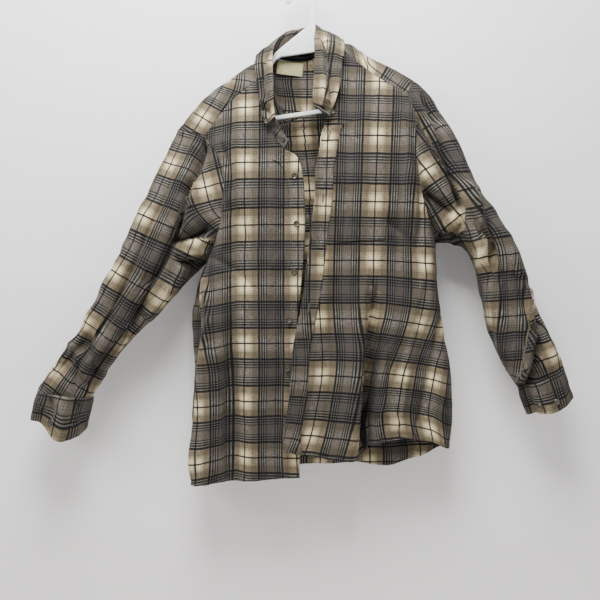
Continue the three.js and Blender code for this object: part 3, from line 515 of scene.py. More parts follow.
def crease_height(creases, x, z):
    """How far the creases push the cloth towards the viewer."""
    total = np.zeros_like(x)
    for i in range(length_of(creases)):
        row = (creases[name][i] for name in CREASE_COLUMNS.split())
        x1, z1, x2, z2, bow, height, left, right, fade = row
        run = np.array([x2 - x1, z2 - z1])
        length = np.linalg.norm(run)
        run = run / length
        share = ((x - x1) * run[0] + (z - z1) * run[1]) / length
        aside = (x - x1) * -run[1] + (z - z1) * run[0] - bow * 4 * share * (1 - share)
        half = np.where(aside > 0, right, left)
        ends = smooth(share * length / fade + 0.5) * smooth((1 - share) * length / fade + 0.5)
        total += height * ends / (1 + (aside / half) ** 2) ** 1.5
    return total


def ripples(grid, seed, wide, tall, height):
    """Seeded bumps over the cloth, wide by tall millimetres each."""
    rng = np.random.default_rng(seed)
    u = grid[..., 3] / wide + 50
    v = grid[..., 4] / tall + 50
    lattice = rng.normal(size=(160, 160))
    i, j = np.floor(u).astype(int), np.floor(v).astype(int)
    s, t = smooth(u - i), smooth(v - j)
    i, j = i % 159, j % 159
    top = mix(lattice[i, j], lattice[i + 1, j], s)
    bottom = mix(lattice[i, j + 1], lattice[i + 1, j + 1], s)
    return height * mix(top, bottom, t)


def pucker(grid, edges, seed, height):
    """The small waves that stitching leaves beside an edge."""
    waves = ripples(grid, seed, 7, 7, height)
    near = 1 - fade_to_seams(grid, edges, 12)
    return waves * near


def settle(grid, sign, seams, seed, front=None, back=None, fold=1.4, crumple=0.45, puckers="", wave=0.9):
    """Gives a piece its creases and ripples, and leaves its seams where they are."""
    normal = normals_of(grid, sign)
    fade = fade_to_seams(grid, seams)
    x, z = grid[..., 0], grid[..., 2]
    lift = np.zeros(grid.shape[:2])
    for creases, towards in ((front, -1), (back, 1)):
        if creases is not None:
            facing = np.clip(normal[..., 1] * towards * 1.6, 0, 1)
            lift += crease_height(creases, x, z) * facing
    small = ripples(grid, seed, 26, 60, fold) + ripples(grid, seed + 1, 11, 15, crumple)
    small += ripples(grid, seed + 2, 60, 34, fold * 0.7)
    lift = (lift + small) * fade
    if puckers:
        lift = lift + pucker(grid, puckers, seed + 3, wave)
    settled = grid.copy()
    settled[..., :3] += normal * lift[..., None]
    return settled


HEM = SimpleNamespace(width=9, rise=0.8)


def turn_hem(grid, sign, edges):
    """A hem stands a little proud to its stitching, which pulls a groove into the cloth."""
    away = fade_to_seams(grid, edges, HEM.width)
    share = np.sqrt(np.clip(away, 0, 1))
    lift = HEM.rise * (1 - smooth((share - 0.8) / 0.2))
    turned = grid.copy()
    turned[..., :3] += normals_of(grid, sign) * lift[..., None]
    return turned


RIGHT_FRONT_CREASES = table(CREASE_COLUMNS, [
    [-187, -575, -169, -663, 4, 10, 8, 6, 30],
    [-169, -663, -202, -942, -8, 14, 7, 8, 60],
    [-128, -640, -136, -946, -3, -10, 10, 8, 70],
    [-150, -330, -120, -470, 6, -6, 10, 7, 40],
    [-160, -420, -96, -520, 5, -6, 7, 12, 40],
    [-170, -540, -90, -600, 8, -6, 8, 10, 40],
    [-60, -420, -66, -640, 4, 4, 12, 12, 60],
    [-30, -620, -44, -900, -4, -4, 8, 12, 70],
    [-160, -700, -150, -900, 2, 6, 8, 8, 60],
])
LEFT_FRONT_CREASES = table(CREASE_COLUMNS, [
    [137, -600, 114, -900, -3, -18, 6, 4, 60],
    [118, -560, 96, -900, -3, 9, 8, 8, 60],
    [160, -700, 150, -880, 4, -8, 8, 7, 50],
    [196, -690, 176, -850, 3, 8, 8, 8, 50],
    [249, -667, 210, -860, 5, -4, 3, 4, 40],
    [206, -300, 214, -520, 12, -8, 8, 8, 60],
    [180, -260, 196, -420, 6, 6, 10, 10, 50],
    [150, -470, 232, -560, 8, -6, 10, 8, 50],
    [230, -560, 200, -700, -6, 6, 10, 8, 50],
    [70, -520, 44, -860, -4, -4, 12, 12, 70],
    [130, -820, 180, -850, 4, 6, 8, 7, 30],
])
BACK_CREASES = table(CREASE_COLUMNS, [
    [-110, -460, -140, -900, 8, 7, 11, 8, 70],
    [-30, -420, -10, -880, -8, -6, 9, 11, 70],
    [70, -420, 90, -880, 6, 7, 11, 9, 70],
    [180, -480, 170, -860, -8, -6, 11, 9, 70],
    [-60, -560, 60, -600, 10, -4, 11, 13, 50],
    [120, -680, 220, -740, -8, 4, 11, 11, 50],
])

# %% [markdown]
# The back closes the tube: below the armpits its sides are the fronts' own sides.

# %% Draping the back
BACK_SEAM_ARCH = 18
BACK_CREAM_LINE = table("z x", [[-1000, 38], [-400, 14], [-300, 4], [-200, 0]])


def back_section(position, left, right):
    """One row of the back, between two points of its sides."""
    row = read(BACK, position)
    last = length_of(BACK) - 1
    turn = TURN_SHARE["back"]
    t = np.linspace(0, 1, FINE + 1)
    middle = np.clip((t - turn) / (1 - 2 * turn), 0, 1)
    left_angle = np.clip(1 - t / turn, 0, 1) * math.pi / 2
    right_angle = np.clip((t - 1 + turn) / turn, 0, 1) * math.pi / 2
    wing = row.wing * np.sin(2 * left_angle)
    x = mix(left[0] + row.turn, right[0] - row.turn, middle)
    x = x + row.turn * (np.sin(right_angle) - np.sin(left_angle)) - wing
    share = (x - left[0]) / (right[0] - left[0])
    arch = BACK_SEAM_ARCH * np.sin(math.pi * np.clip(share, 0, 1)) * (1 - smooth(position / 3))
    hem = hem_rise(BACK_HEM, x) * smooth((position - last + 1.5) / 1.5)
    z = mix(left[2], right[2], share) + arch + hem
    y = row.back_y + (left[1] - row.back_y) * (1 - np.cos(left_angle))
    y = y + (right[1] - row.back_y) * (1 - np.cos(right_angle))
    flat = np.cos(left_angle) * np.cos(right_angle)
    y = y + fold_height(BACK_FOLDS, x, z) * flat * smooth(position / 1.5)
    points = np.stack([x, y, z], axis=1)
    steps = np.linalg.norm(np.diff(points[:, :2], axis=0), axis=1)
    distance = np.concatenate([[0], np.cumsum(steps)])
    line_x = np.interp(z.mean(), BACK_CREAM_LINE["z"], BACK_CREAM_LINE["x"])
    across = (distance - distance[np.argmin(np.abs(x - line_x))]) * SETT / 99
    return np.column_stack([points, across, -z + 0.05 * x + 15])


def back_grid(right_front, left_front):
    rows = []
    for j, s in enumerate(levels(ARMPIT["back"], length_of(BACK) - 1)):
        row = read(BACK, s)
        below = j >= ROWS_TO_ARMPIT
        left = right_front[j, -1, :3] if below else np.array([row.left_x, row.left_y, row.left_z])
        right = left_front[j, -1, :3] if below else np.array([row.right_x, row.right_y, row.right_z])
        rows.append(even(back_section(s, left, right), BACK_COLUMNS))
    return np.array(rows)


EDGES = {"seams": "top right", "puckers": "left bottom"}
right_front = settle(front_grid("right"), 1, seed=11, front=RIGHT_FRONT_CREASES, **EDGES)
left_front = settle(front_grid("left"), -1, seed=21, front=LEFT_FRONT_CREASES, **EDGES)
back = back_grid(right_front, left_front)
back = settle(back, 1, "top left right", 31, back=BACK_CREASES, puckers="bottom")
right_front = turn_hem(right_front, 1, "bottom")
left_front = turn_hem(left_front, -1, "bottom")
back = turn_hem(back, 1, "bottom")
print("front", right_front.shape, "back", back.shape)

# %% [markdown]
# The yoke is the saddle over the shoulders. It starts at the back seam, goes over the hanger's arm
# and ends at the fronts, so its front edge takes the fronts' own top edges. Its check runs along
# the shoulders, because it is cut across the cloth.

# %% Draping the yoke
NECK = {"start": 3, "end": 7}


def spine(points, count):
    """A centripetal curve through a few points, the kind that never loops."""
    points = [np.asarray(p, float) for p in points]
    padded = [2 * points[0] - points[1], *points, 2 * points[-1] - points[-2]]
    line = []
    for a, b, c, d in zip(padded, padded[1:], padded[2:], padded[3:]):
        ta = 0
        tb = ta + np.linalg.norm(b - a) ** 0.5
        tc = tb + np.linalg.norm(c - b) ** 0.5
        td = tc + np.linalg.norm(d - c) ** 0.5
        for t in np.linspace(tb, tc, count, endpoint=False):
            ab = a + (b - a) * (t - ta) / (tb - ta)
            bc = b + (c - b) * (t - tb) / (tc - tb)
            cd = c + (d - c) * (t - tc) / (td - tc)
            abc = ab + (bc - ab) * (t - ta) / (tc - ta)
            bcd = bc + (cd - bc) * (t - tb) / (td - tb)
            line.append(abc + (bcd - abc) * (t - tb) / (tc - tb))
    line.append(points[-1])
    return np.array(line)


def yoke_lines():
    """The yoke's profiles, each from the back seam over the ridge to the front."""
    last = length_of(YOKE) - 1
    every = FRONT_COLUMNS // SHOULDER_COLUMNS
    stops = []
    for i in range(SHOULDER_COLUMNS):
        front = right_front[0, FRONT_COLUMNS - i * every, :3]
        stops.append((mix(0, NECK["start"], i / SHOULDER_COLUMNS), front))
    stops.append((NECK["start"], right_front[0, 0, :3]))
    for i in range(1, NECK_COLUMNS):
        stops.append((mix(NECK["start"], NECK["end"], i / NECK_COLUMNS), None))
    for i in range(SHOULDER_COLUMNS + 1):
        stops.append((mix(NECK["end"], last, i / SHOULDER_COLUMNS), left_front[0, i * every, :3]))
    seam = even(back[0, :, :3], len(stops) - 1)
    lines = []
    for (position, front), start in zip(stops, seam):
        row = read(YOKE, position)
        end = np.array([row.front_x, row.front_y, row.front_z]) if front is None else front
        ridge = np.array([row.ridge_x, row.ridge_y, row.ridge_z])
        behind = mix(ridge, start, 0.2) + (0, row.saddle, 0)
        before = mix(ridge, end, 0.34) + (0, -row.saddle, 0)
        lines.append(spine([start, behind, ridge, before, end], 30))
    return lines


def with_cloth(grid, across, down):
    """Adds the place in the cloth to a grid of points."""
    return np.concatenate([grid, np.broadcast_to(across, grid.shape[:2])[..., None],
                           np.broadcast_to(down, grid.shape[:2])[..., None]], axis=2)


yoke_profiles = yoke_lines()
yoke_points = np.array([even(line, PROFILE_STEPS) for line in yoke_profiles])


def planar(x, z, origin, run):
    """A flat check with its crossing lines at the origin and its weft across the given direction."""
    dx, dz = x - origin[0], z - origin[1]
    return np.stack([dx * -run[1] + dz * run[0], dx * run[0] + dz * run[1]], axis=-1)


# Where two dark lines cross on each shoulder and on the back of the neck, and which way the warp runs
YOKE_GRAIN = {
    "right": ((-189, -278), (0.50, 0.86)),
    "neck": ((10, -152), (0, -1)),
    "left": ((129, -181), (0.82, -0.57)),
}
GRAIN_BLEND_COLUMNS = 8


def yoke_cloth(points):
    """The yoke's check, measured along the cloth from the front seam, so it goes over the ridge."""
    rise = points[:, PROFILE_STEPS // 2] - points[:, -1]
    rise = rise[:, [0, 2]] / np.linalg.norm(rise[:, [0, 2]], axis=1)[:, None]
    length = np.array([along(line[::-1])[::-1] for line in points])
    x = points[:, -1:, 0] + rise[:, :1] * length
    z = points[:, -1:, 2] + rise[:, 1:] * length
    maps = {name: planar(x, z, *grain) for name, grain in YOKE_GRAIN.items()}
    index = np.arange(len(points))
    blend = GRAIN_BLEND_COLUMNS
    share = {
        "right": (SHOULDER_COLUMNS + blend - index) / blend,
        "left": (index - SHOULDER_COLUMNS - NECK_COLUMNS + blend) / blend,
    }
    cloth_place = maps["neck"]
    for name, joint in (("right", SHOULDER_COLUMNS), ("left", SHOULDER_COLUMNS + NECK_COLUMNS)):
        setts = np.round((maps[name] - maps["neck"])[joint, PROFILE_STEPS // 2] / SETT)
        weight = smooth(share[name])[:, None, None]
        cloth_place = mix(cloth_place, maps[name] - setts * SETT, weight)
    return with_cloth(points, cloth_place[..., 0], cloth_place[..., 1])


yoke = yoke_cloth(yoke_points)
print("yoke", yoke.shape)

# %% [markdown]
# A sleeve is a tube. Its first ring is the armhole itself, so the seam closes, and within a third
# of its length it becomes the flattened section of the table. Long soft folds run down it.

# %% Draping the sleeves
SLEEVE_ROWS = 150
ARMHOLE_BLEND = 0.3
ARMPIT_INDEX = PROFILE_STEPS // 2 + ROWS_TO_ARMPIT


def armhole(yoke_edge, front_side, back_side):
    """The armhole, from the shoulder tip down the front to the armpit and up the back."""
    half = PROFILE_STEPS // 2
    return np.concatenate([
        yoke_edge[half:], front_side[1:ROWS_TO_ARMPIT + 1],
        back_side[:ROWS_TO_ARMPIT][::-1], yoke_edge[1:half],
    ])[:, :3]


GRAIN_LINE = SimpleNamespace(step=0.0006, window=301, beyond=400)


def grain_place(points, grain):
    """Where points are along a sleeve's grain line and aside from it."""
    rows = np.arange(length_of(grain.line))
    places = np.arange(0, 1, GRAIN_LINE.step) * rows[-1]
    line = np.stack([np.interp(places, rows, grain.line[name]) for name in ("x", "z", "v")], axis=1)
    kernel = np.hanning(GRAIN_LINE.window)
    half = GRAIN_LINE.window // 2
    padded = np.pad(line, ((half, half), (0, 0)), mode="reflect", reflect_type="odd")
    line = np.stack([np.convolve(column, kernel / kernel.sum(), "valid") for column in padded.T], axis=1)
    line = np.pad(line, ((GRAIN_LINE.beyond,) * 2, (0, 0)), mode="reflect", reflect_type="odd")
    run = np.gradient(line[:, :2], axis=0)
    run /= np.linalg.norm(run, axis=1)[:, None]
    level = run if grain.level is None else np.broadcast_to(grain.level, run.shape)
    offset_x = points[:, None, 0] - line[None, :, 0]
    offset_z = points[:, None, 2] - line[None, :, 1]
    nearest = np.argmin(np.abs(offset_x * level[:, 0] + offset_z * level[:, 1]), axis=1)
    chosen = np.arange(len(points))
    aside = offset_x[chosen, nearest] * -run[nearest, 1] + offset_z[chosen, nearest] * run[nearest, 0]
    return line[nearest, 2], aside * grain.inner, run[nearest]


def sleeve_cloth(points, grain):
    """A sleeve's check: along its grain line in front, round the arm, and broken at the underarm seam."""
    u = np.zeros(points.shape[:2])
    v = np.zeros(points.shape[:2])
    middle = ARMPIT_INDEX // 2
    for j, ring in enumerate(points):
        v[j], aside, run = grain_place(ring, grain)
        step = np.diff(ring, axis=0)
        across = step[:, 0] * -run[1:, 1] + step[:, 2] * run[1:, 0]
        turned = np.concatenate([[0], np.cumsum(np.hypot(across, step[:, 1]))])
        u[j] = aside[middle] + turned - turned[middle] + grain.at_line
        behind = np.arange(len(ring)) > ARMPIT_INDEX
        u[j, behind] = u[j, 0] - (turned[-1] - turned[behind])
    x, z = points[..., 0], points[..., 2]
    for patch in grain.patches:
        edge = np.interp(-z, -patch.edge["z"], patch.edge["x"])
        front = np.arange(points.shape[1])[None, :] <= ARMPIT_INDEX
        inside = ((x - edge) * patch.side > 0) & (z < patch.edge["z"][0]) & (z > patch.edge["z"][-1]) & front
        angle = np.radians(patch.angle + patch.twist * smooth((patch.origin[1] - 20 - z) / 80))
        dx, dz = x - patch.origin[0], z - patch.origin[1]
        u = np.where(inside, dx * np.cos(angle) + dz * np.sin(angle), u)
        v = np.where(inside, dx * np.sin(angle) - dz * np.cos(angle), v)
    return with_cloth(points, u, v)


RIGHT_GRAIN = SimpleNamespace(
    line=table("x z v", [
        [-197, -222, -159], [-234, -315, -53], [-271, -408, 53], [-318, -518, 159], [-375, -616, 265],
        [-432, -700, 371], [-494, -793, 477],
    ]),
    level=None, inner=1, at_line=0,
    patches=[SimpleNamespace(
        edge=table("z x", [[-317, -180], [-370, -191], [-408, -210], [-451, -225], [-507, -236]]),
        side=1, origin=(-178, -411), angle=14, twist=24,
    )],
)
LEFT_GRAIN = SimpleNamespace(
    line=table("x z v", [
        [228, -238, -53], [258, -296, 0], [284, -353, 53], [325, -416, 106], [363, -477, 159],
        [381, -537, 212], [383, -649, 318], [381, -758, 424],
    ]),
    level=(0.08, -1), inner=-1, at_line=53,
    patches=[
        SimpleNamespace(
            edge=table("z x", [[-600, 424], [-657, 411], [-713, 406], [-800, 402]]),
            side=1, origin=(467, -720), angle=23, twist=0,
        ),
        SimpleNamespace(
            edge=table("z x", [[-280, 213], [-306, 226], [-350, 250], [-400, 278], [-451, 300], [-500, 300]]),
            side=-1, origin=(228, -380), angle=35, twist=0,
        ),
    ],
)


def sleeve_grid(sleeve, folds, hole, grain):
    """A sleeve's rings, from the armhole to the cuff seam."""
    count = len(hole)
    index = np.arange(count)
    half = np.where(index <= ARMPIT_INDEX, index / ARMPIT_INDEX,
                    1 + (index - ARMPIT_INDEX) / (count - ARMPIT_INDEX))
    angle = half * math.pi
    turn = index / count

    def section(position):
        row = read(sleeve, position)
        outer = np.array([row.outer_x, row.middle_y, row.outer_z])
        inner = np.array([row.inner_x, row.middle_y, row.inner_z])
        middle = (outer + inner) / 2
        ring = middle + (outer - middle) * np.cos(angle)[:, None]
        bulge = np.sign(np.sin(angle)) * np.abs(np.sin(angle)) ** 0.8
        ring[:, 1] -= row.depth * bulge
        ring[:, 0] += row.bow * np.sin(angle) ** 2
        return ring

    start = section(0)
    rings = []
    for j in range(SLEEVE_ROWS + 1):
        share = j / SLEEVE_ROWS
        ring = section(share * (length_of(sleeve) - 1))
        keep = 1 - smooth(share / ARMHOLE_BLEND)
        inward = np.zeros(count)
        for i in range(length_of(folds)):
            ends = smooth((share - folds["start"][i]) / 0.15) * smooth((folds["end"][i] - share) / 0.15)
            near = np.exp(-(((turn - folds["around"][i]) / folds["half"][i]) ** 2))
            inward += folds["depth"][i] * ends * near
        away = ring - ring.mean(axis=0)
        away /= np.linalg.norm(away, axis=1)[:, None]
        rings.append(ring + away * inward[:, None] + (hole - start) * keep)
    points = np.array(rings)
    closed = np.concatenate([points, points[:, :1]], axis=1)
    return sleeve_cloth(closed, grain)


right_hole = armhole(yoke[0], right_front[:, -1], back[:, 0])
left_hole = armhole(yoke[-1], left_front[:, -1], back[:, -1])
RIGHT_SLEEVE_CREASES = table(CREASE_COLUMNS, [
    [-180, -317, -209, -408, 4, -24, 5, 6, 30],
    [-209, -408, -236, -507, 3, -28, 6, 6, 30],
    [-200, -325, -228, -415, 4, 7, 8, 7, 30],
    [-246, -396, -293, -506, 4, -8, 6, 8, 40],
    [-293, -506, -378, -682, 6, -16, 7, 9, 50],
    [-378, -682, -462, -762, -6, -12, 7, 9, 40],
    [-290, -560, -352, -667, 6, 11, 7, 9, 50],
    [-352, -667, -392, -735, 4, 9, 7, 9, 40],
    [-236, -500, -279, -583, 6, -24, 8, 10, 30],
    [-279, -583, -322, -690, 6, -26, 7, 8, 40],
    [-236, -512, -172, -490, -3, -26, 7, 8, 20],
    [-236, -530, -176, -531, -5, 8, 4, 5, 16],
    [-225, -548, -180, -556, -3, -22, 7, 7, 20],
    [-222, -550, -262, -612, 8, 8, 8, 8, 24],
    [-250, -590, -290, -650, 5, 8, 9, 8, 24],
    [-300, -640, -286, -690, 4, -8, 5, 6, 20],
    [-270, -640, -330, -672, 5, 6, 5, 6, 20],
    [-318, -668, -296, -700, 3, 6, 4, 5, 18],
    [-306, -690, -330, -720, 3, -7, 4, 5, 18],
    [-200, -400, -222, -470, 6, 8, 9, 8, 40],
    [-300, -420, -345, -540, 5, 5, 10, 10, 60],
    [-345, -540, -400, -650, 5, 4, 10, 10, 60],
    [-430, -700, -400, -780, 6, 8, 8, 8, 40],
    [-392, -705, -420, -790, -6, -10, 6, 7, 40],
    [-440, -720, -480, -775, 4, 6, 8, 8, 30],
    [-400, -690, -380, -760, 4, -8, 6, 6, 30],
])
LEFT_SLEEVE_CREASES = table(CREASE_COLUMNS, [
    [227, -240, 258, -341, 5, -20, 5, 7, 30],
    [258, -341, 293, -491, 5, -24, 6, 7, 40],
    [204, -270, 242, -348, 5, -14, 6, 6, 30],
    [242, -348, 289, -451, 4, -22, 6, 6, 30],
    [236, -290, 276, -420, 4, 8, 6, 6, 50],
    [214, -350, 250, -425, -5, 11, 11, 10, 30],
    [222, -420, 275, -462, 4, -24, 7, 8, 20],
    [232, -452, 270, -498, 3, 8, 7, 7, 20],
    [240, -500, 286, -500, 3, -16, 6, 6, 16],
    [300, -400, 326, -458, 4, 12, 10, 4, 30],
    [326, -458, 334, -575, 3, 14, 12, 4, 40],
    [338, -440, 344, -575, 3, -20, 4, 9, 40],
    [330, -400, 338, -440, 3, -10, 4, 9, 24],
    [404, -590, 418, -640, 3, 9, 12, 4, 24],
    [418, -640, 398, -780, 10, 12, 10, 4, 40],
    [430, -630, 410, -785, 12, -20, 4, 10, 40],
    [360, -470, 400, -600, 6, 4, 14, 12, 60],
    [350, -620, 392, -740, -6, 5, 12, 12, 60],
    [440, -660, 462, -740, 5, 5, 10, 10, 40],
    [270, -300, 300, -370, 5, 5, 9, 9, 40],
    [300, -330, 350, -430, 5, -4, 9, 9, 40],
    [352, -500, 420, -510, 5, 3, 7, 9, 30],
    [350, -560, 420, -585, 5, 4, 7, 9, 30],
])
SLEEVE_BACK_CREASES = table(CREASE_COLUMNS, [
    [-250, -400, -360, -620, 8, -12, 9, 8, 60],
    [-330, -560, -430, -740, -6, 10, 11, 8, 60],
    [-230, -520, -300, -640, 6, -10, 8, 9, 40],
    [240, -300, 310, -460, -6, -12, 9, 9, 60],
    [300, -420, 370, -620, 6, 10, 9, 11, 60],
    [370, -560, 430, -720, -8, -10, 9, 8, 60],
])
right_sleeve = sleeve_grid(RIGHT_SLEEVE, RIGHT_SLEEVE_FOLDS, right_hole, RIGHT_GRAIN)
left_sleeve = sleeve_grid(LEFT_SLEEVE, LEFT_SLEEVE_FOLDS, left_hole, LEFT_GRAIN)
LOOSE = {"back": SLEEVE_BACK_CREASES, "fold": 1.8, "crumple": 0.8}
right_sleeve = settle(right_sleeve, -1, "top", 41, RIGHT_SLEEVE_CREASES, **LOOSE)
left_sleeve = settle(left_sleeve, 1, "top", 51, LEFT_SLEEVE_CREASES, **LOOSE)
for sleeve in (right_sleeve, left_sleeve):
    sleeve[:, -1, :3] = sleeve[:, 0, :3]
print("sleeves", right_sleeve.shape, left_sleeve.shape)

# %% [markdown]
# A cuff goes on from the sleeve's last ring. Its two ends lap where its buttonholes are, so the
# strip winds outward a little as it goes round.

# %% Draping the cuffs
LAYER = 2.1
CUFF = SimpleNamespace(length=54, rows=16, overlap=0.1, step=LAYER * 1.15, clear=1.2, start=0.8, level=40)
CUFF_ENDS = {
    "right": SimpleNamespace(run=np.array([-0.22, 0, -0.97]), droop=32, toward=np.array([0.5, -0.86, 0]),
                             width=1.02, cream=12),
    "left": SimpleNamespace(run=np.array([0.30, 0, -0.95]), droop=10, toward=np.array([0, -1, 0]),
                            width=0.98, cream=30),
}


def cuff_grid(sleeve, end):
    """A strip from a sleeve's last ring down, wound so that its ends lap."""
    ring = sleeve[-1, :-1, :3]
    count = len(ring)
    lap = round(count * CUFF.overlap)
    order = (round(count * CUFF.start) + np.arange(count + lap + 1)) % count
    centre = ring.mean(axis=0)
    away = ring[order] - centre
    radial = away / np.linalg.norm(away, axis=1)[:, None]
    front = np.maximum(radial @ end.toward, 0) ** 2
    wind = CUFF.step * (np.arange(count + lap + 1) / count - 0.5)
    rows = []
    for j in range(CUFF.rows + 1):
        share = j / CUFF.rows
        reach = CUFF.clear + share * (CUFF.length - CUFF.clear + end.droop * front)
        if j == 0:
            reach = reach * 0
        wide = away * mix(1, end.width, share) + radial * wind[:, None]
        rows.append(centre + wide + end.run * reach[:, None])
    points = np.array(rows)
    down = np.linspace(0, CUFF.length, CUFF.rows + 1) + CUFF.level
    return with_cloth(points, along(points[0]) - end.cream, down[:, None])


RIGHT_CUFF_CREASES = table(CREASE_COLUMNS, [
    [-473, -780, -464, -840, 3, -8, 6, 6, 20],
    [-446, -800, -434, -870, -3, 6, 9, 8, 20],
    [-420, -800, -410, -860, 3, -6, 6, 7, 20],
    [-490, -790, -484, -830, 2, 4, 5, 5, 16],
])
LEFT_CUFF_CREASES = table(CREASE_COLUMNS, [
    [440, -780, 452, -830, 3, -5, 6, 6, 20],
    [470, -760, 484, -810, 3, 4, 8, 8, 20],
])
right_cuff = cuff_grid(right_sleeve, CUFF_ENDS["right"])
right_cuff = settle(right_cuff, -1, "top", 81, front=RIGHT_CUFF_CREASES, fold=1.0, crumple=0.7, puckers="bottom")
left_cuff = cuff_grid(left_sleeve, CUFF_ENDS["left"])
left_cuff = settle(left_cuff, 1, "top", 91, front=LEFT_CUFF_CREASES, fold=1.0, crumple=0.6, puckers="bottom")

# %% [markdown]
# Whatever is sewn to a front reads the settled front, so it follows every crease under it.

# %% Reading a settled front
SETTLED = {"right": right_front, "left": left_front}


def front_row(side, position):
    """One row of a settled front, at a place between its levels."""
    grid = SETTLED[side]
    index = np.interp(position, front_levels(side), np.arange(len(grid)))
    j = min(int(index), len(grid) - 2)
    return mix(grid[j], grid[j + 1], index - j)


# %% [markdown]
# The stand is the strip that is sewn into the neckline, and the leaf falls over it from the roll.
# Both are read from tables of their two long edges.

# %% Draping the collar
COLLAR_COLUMNS = 170
STAND_ENDS = {"right": 4, "left": 3}
STAND_FOOT = 0.4
ROLL_CLEAR = 1.0


def neckline():
    """The neckline, down the right front's cut, round the yoke's, and down the left front's."""
    def cut(side):
        return np.array([front_row(side, s)[0, :3] for s in np.linspace(0, STAND_ENDS[side], FINE)])
    behind = yoke[SHOULDER_COLUMNS:SHOULDER_COLUMNS + NECK_COLUMNS + 1, -1, :3]
    return np.concatenate([cut("right")[::-1], even(behind, FINE), cut("left")])


def stand_grid():
    line = neckline()
    rows = []
    for i in range(COLLAR_COLUMNS + 1):
        row = read(STAND, (length_of(STAND) - 1) * i / COLLAR_COLUMNS)
        wanted = np.array([row.base_x, row.base_y, row.base_z])
        near = line[np.argmin(np.linalg.norm(line - wanted, axis=1))]
        top = np.array([row.top_x, row.top_y, row.top_z])
        foot = near + STAND_FOOT * (top - near) / np.linalg.norm(top - near)
        rows.append([mix(foot, top, share) for share in np.linspace(0, 1, 11)])
    points = np.array(rows)
    return with_cloth(points, np.linspace(0, 33, 11)[None, :] + 33, along(points[:, 0])[:, None])


LEAF_CREASE_COLUMN = 9
LEAF_BEND = SimpleNamespace(side=0.4, centre=4, share=0.35, rise=3, bulge=5)


def leaf_grid():
    rows = []
    for i in range(COLLAR_COLUMNS + 1):
        row = read(LEAF, (length_of(LEAF) - 1) * i / COLLAR_COLUMNS)
        roll = np.array([row.roll_x, row.roll_y, row.roll_z])
        edge = np.array([row.edge_x, row.edge_y, row.edge_z])
        outward = np.array([roll[0] * LEAF_BEND.side - LEAF_BEND.centre, roll[1] - LEAF_BEND.centre, 0])
        outward /= np.linalg.norm(outward)
        bend = mix(roll, edge, LEAF_BEND.share) + (0, 0, LEAF_BEND.rise) + outward * LEAF_BEND.bulge
        start = roll + outward * ROLL_CLEAR + (0, 0, ROLL_CLEAR)
        end = edge + outward * ROLL_CLEAR
        t = np.linspace(0, 1, 60)[:, None]
        curve = (1 - t) ** 2 * start + 2 * t * (1 - t) * bend + t * t * end
        rows.append(even(curve, 20))
    points = np.array(rows)
    across = np.array([along(line) for line in points])
    inner = np.arange(points.shape[1])[None, :] <= LEAF_CREASE_COLUMN
    left = (np.arange(len(points)) > 0.6 * len(points))[:, None]
    place = np.where(left & inner, across - 26, np.where(left, across - across[:, -1:] - 8, across + 8))
    return with_cloth(points, place, along(points[:, 0])[:, None] - 5)


STAND_CREASES = table(CREASE_COLUMNS, [
    [-62, -286, -44, -292, 1, 4, 4, 4, 8],
    [-58, -302, -40, -308, 1, -4, 4, 4, 8],
    [-50, -314, -34, -318, 1, 4, 4, 4, 8],
    [-44, -328, -26, -330, 1, -4, 4, 4, 8],
])
LEAF_CREASES = table(CREASE_COLUMNS, [
    [36, -128, 48, -195, 2, -12, 3.5, 3.5, 20],
    [48, -195, 54, -262, 1, -12, 3.5, 3.5, 20],
    [60, -140, 64, -230, 2, 4, 6, 6, 20],
    [30, -130, 38, -250, 2, 4, 5, 5, 20],
    [38, -256, 64, -268, 3, 5, 4, 4, 8],
    [36, -270, 60, -280, 2, -6, 4, 4, 8],
    [40, -280, 58, -292, 2, 4, 3, 3, 8],
    [-59, -156, -72, -205, -3, -7, 4, 4, 20],
    [-72, -205, -69, -250, -3, -7, 4, 4, 20],
    [-62, -180, -58, -240, 2, 4, 4, 4, 20],
    [-80, -254, -56, -264, 2, 5, 4, 4, 8],
    [-78, -270, -56, -280, 2, -6, 4, 4, 8],
    [-74, -284, -56, -296, 2, 4, 4, 4, 8],
])
stand = settle(stand_grid(), 1, "left right", 61, front=STAND_CREASES, fold=0.5, crumple=0.5)
leaf = settle(leaf_grid(), -1, "left", 71, front=LEAF_CREASES, fold=0.7, crumple=0.7,
              puckers="right top bottom")

# %% [markdown]
# What lies on a panel is made from the panel's own points: a strip or patch between two levels and
# two distances from the front edge, moved out by the thickness of the cloth.

# %% Bands, pocket and plackets
PATCH_LIFT = 1.35
BAND = SimpleNamespace(edge=0.4, width=33, rows=220, columns=12, tops={"right": 3.4, "left": 3.3})
POCKET = SimpleNamespace(top=6.1, bottom=8.82, inner=(47, 53), outer=(136, 142), rows=50, columns=40)


def patch_on_front(side, sign, start, stop, rows, inner, outer, columns):
    """A patch on a front, lifted off it along the cloth's normals."""
    grid = []
    for share in np.linspace(0, 1, rows + 1):
        section = front_row(side, mix(start, stop, share))
        places = along(section)
        wanted = np.linspace(mix(inner[0], inner[1], share), mix(outer[0], outer[1], share), columns + 1)
        grid.append(np.stack([np.interp(wanted, places, column) for column in section.T], axis=1))
    grid = np.array(grid)
    grid[..., :3] += normals_of(grid, sign) * PATCH_LIFT
    return grid


def band(side, sign):
    """A band along a front edge, from the collar down to the hem."""
    last = length_of(FRONTS[side][0]) - 1
    edges = (BAND.edge, BAND.edge), (BAND.width, BAND.width)
    return patch_on_front(side, sign, BAND.tops[side], last, BAND.rows, *edges, BAND.columns)


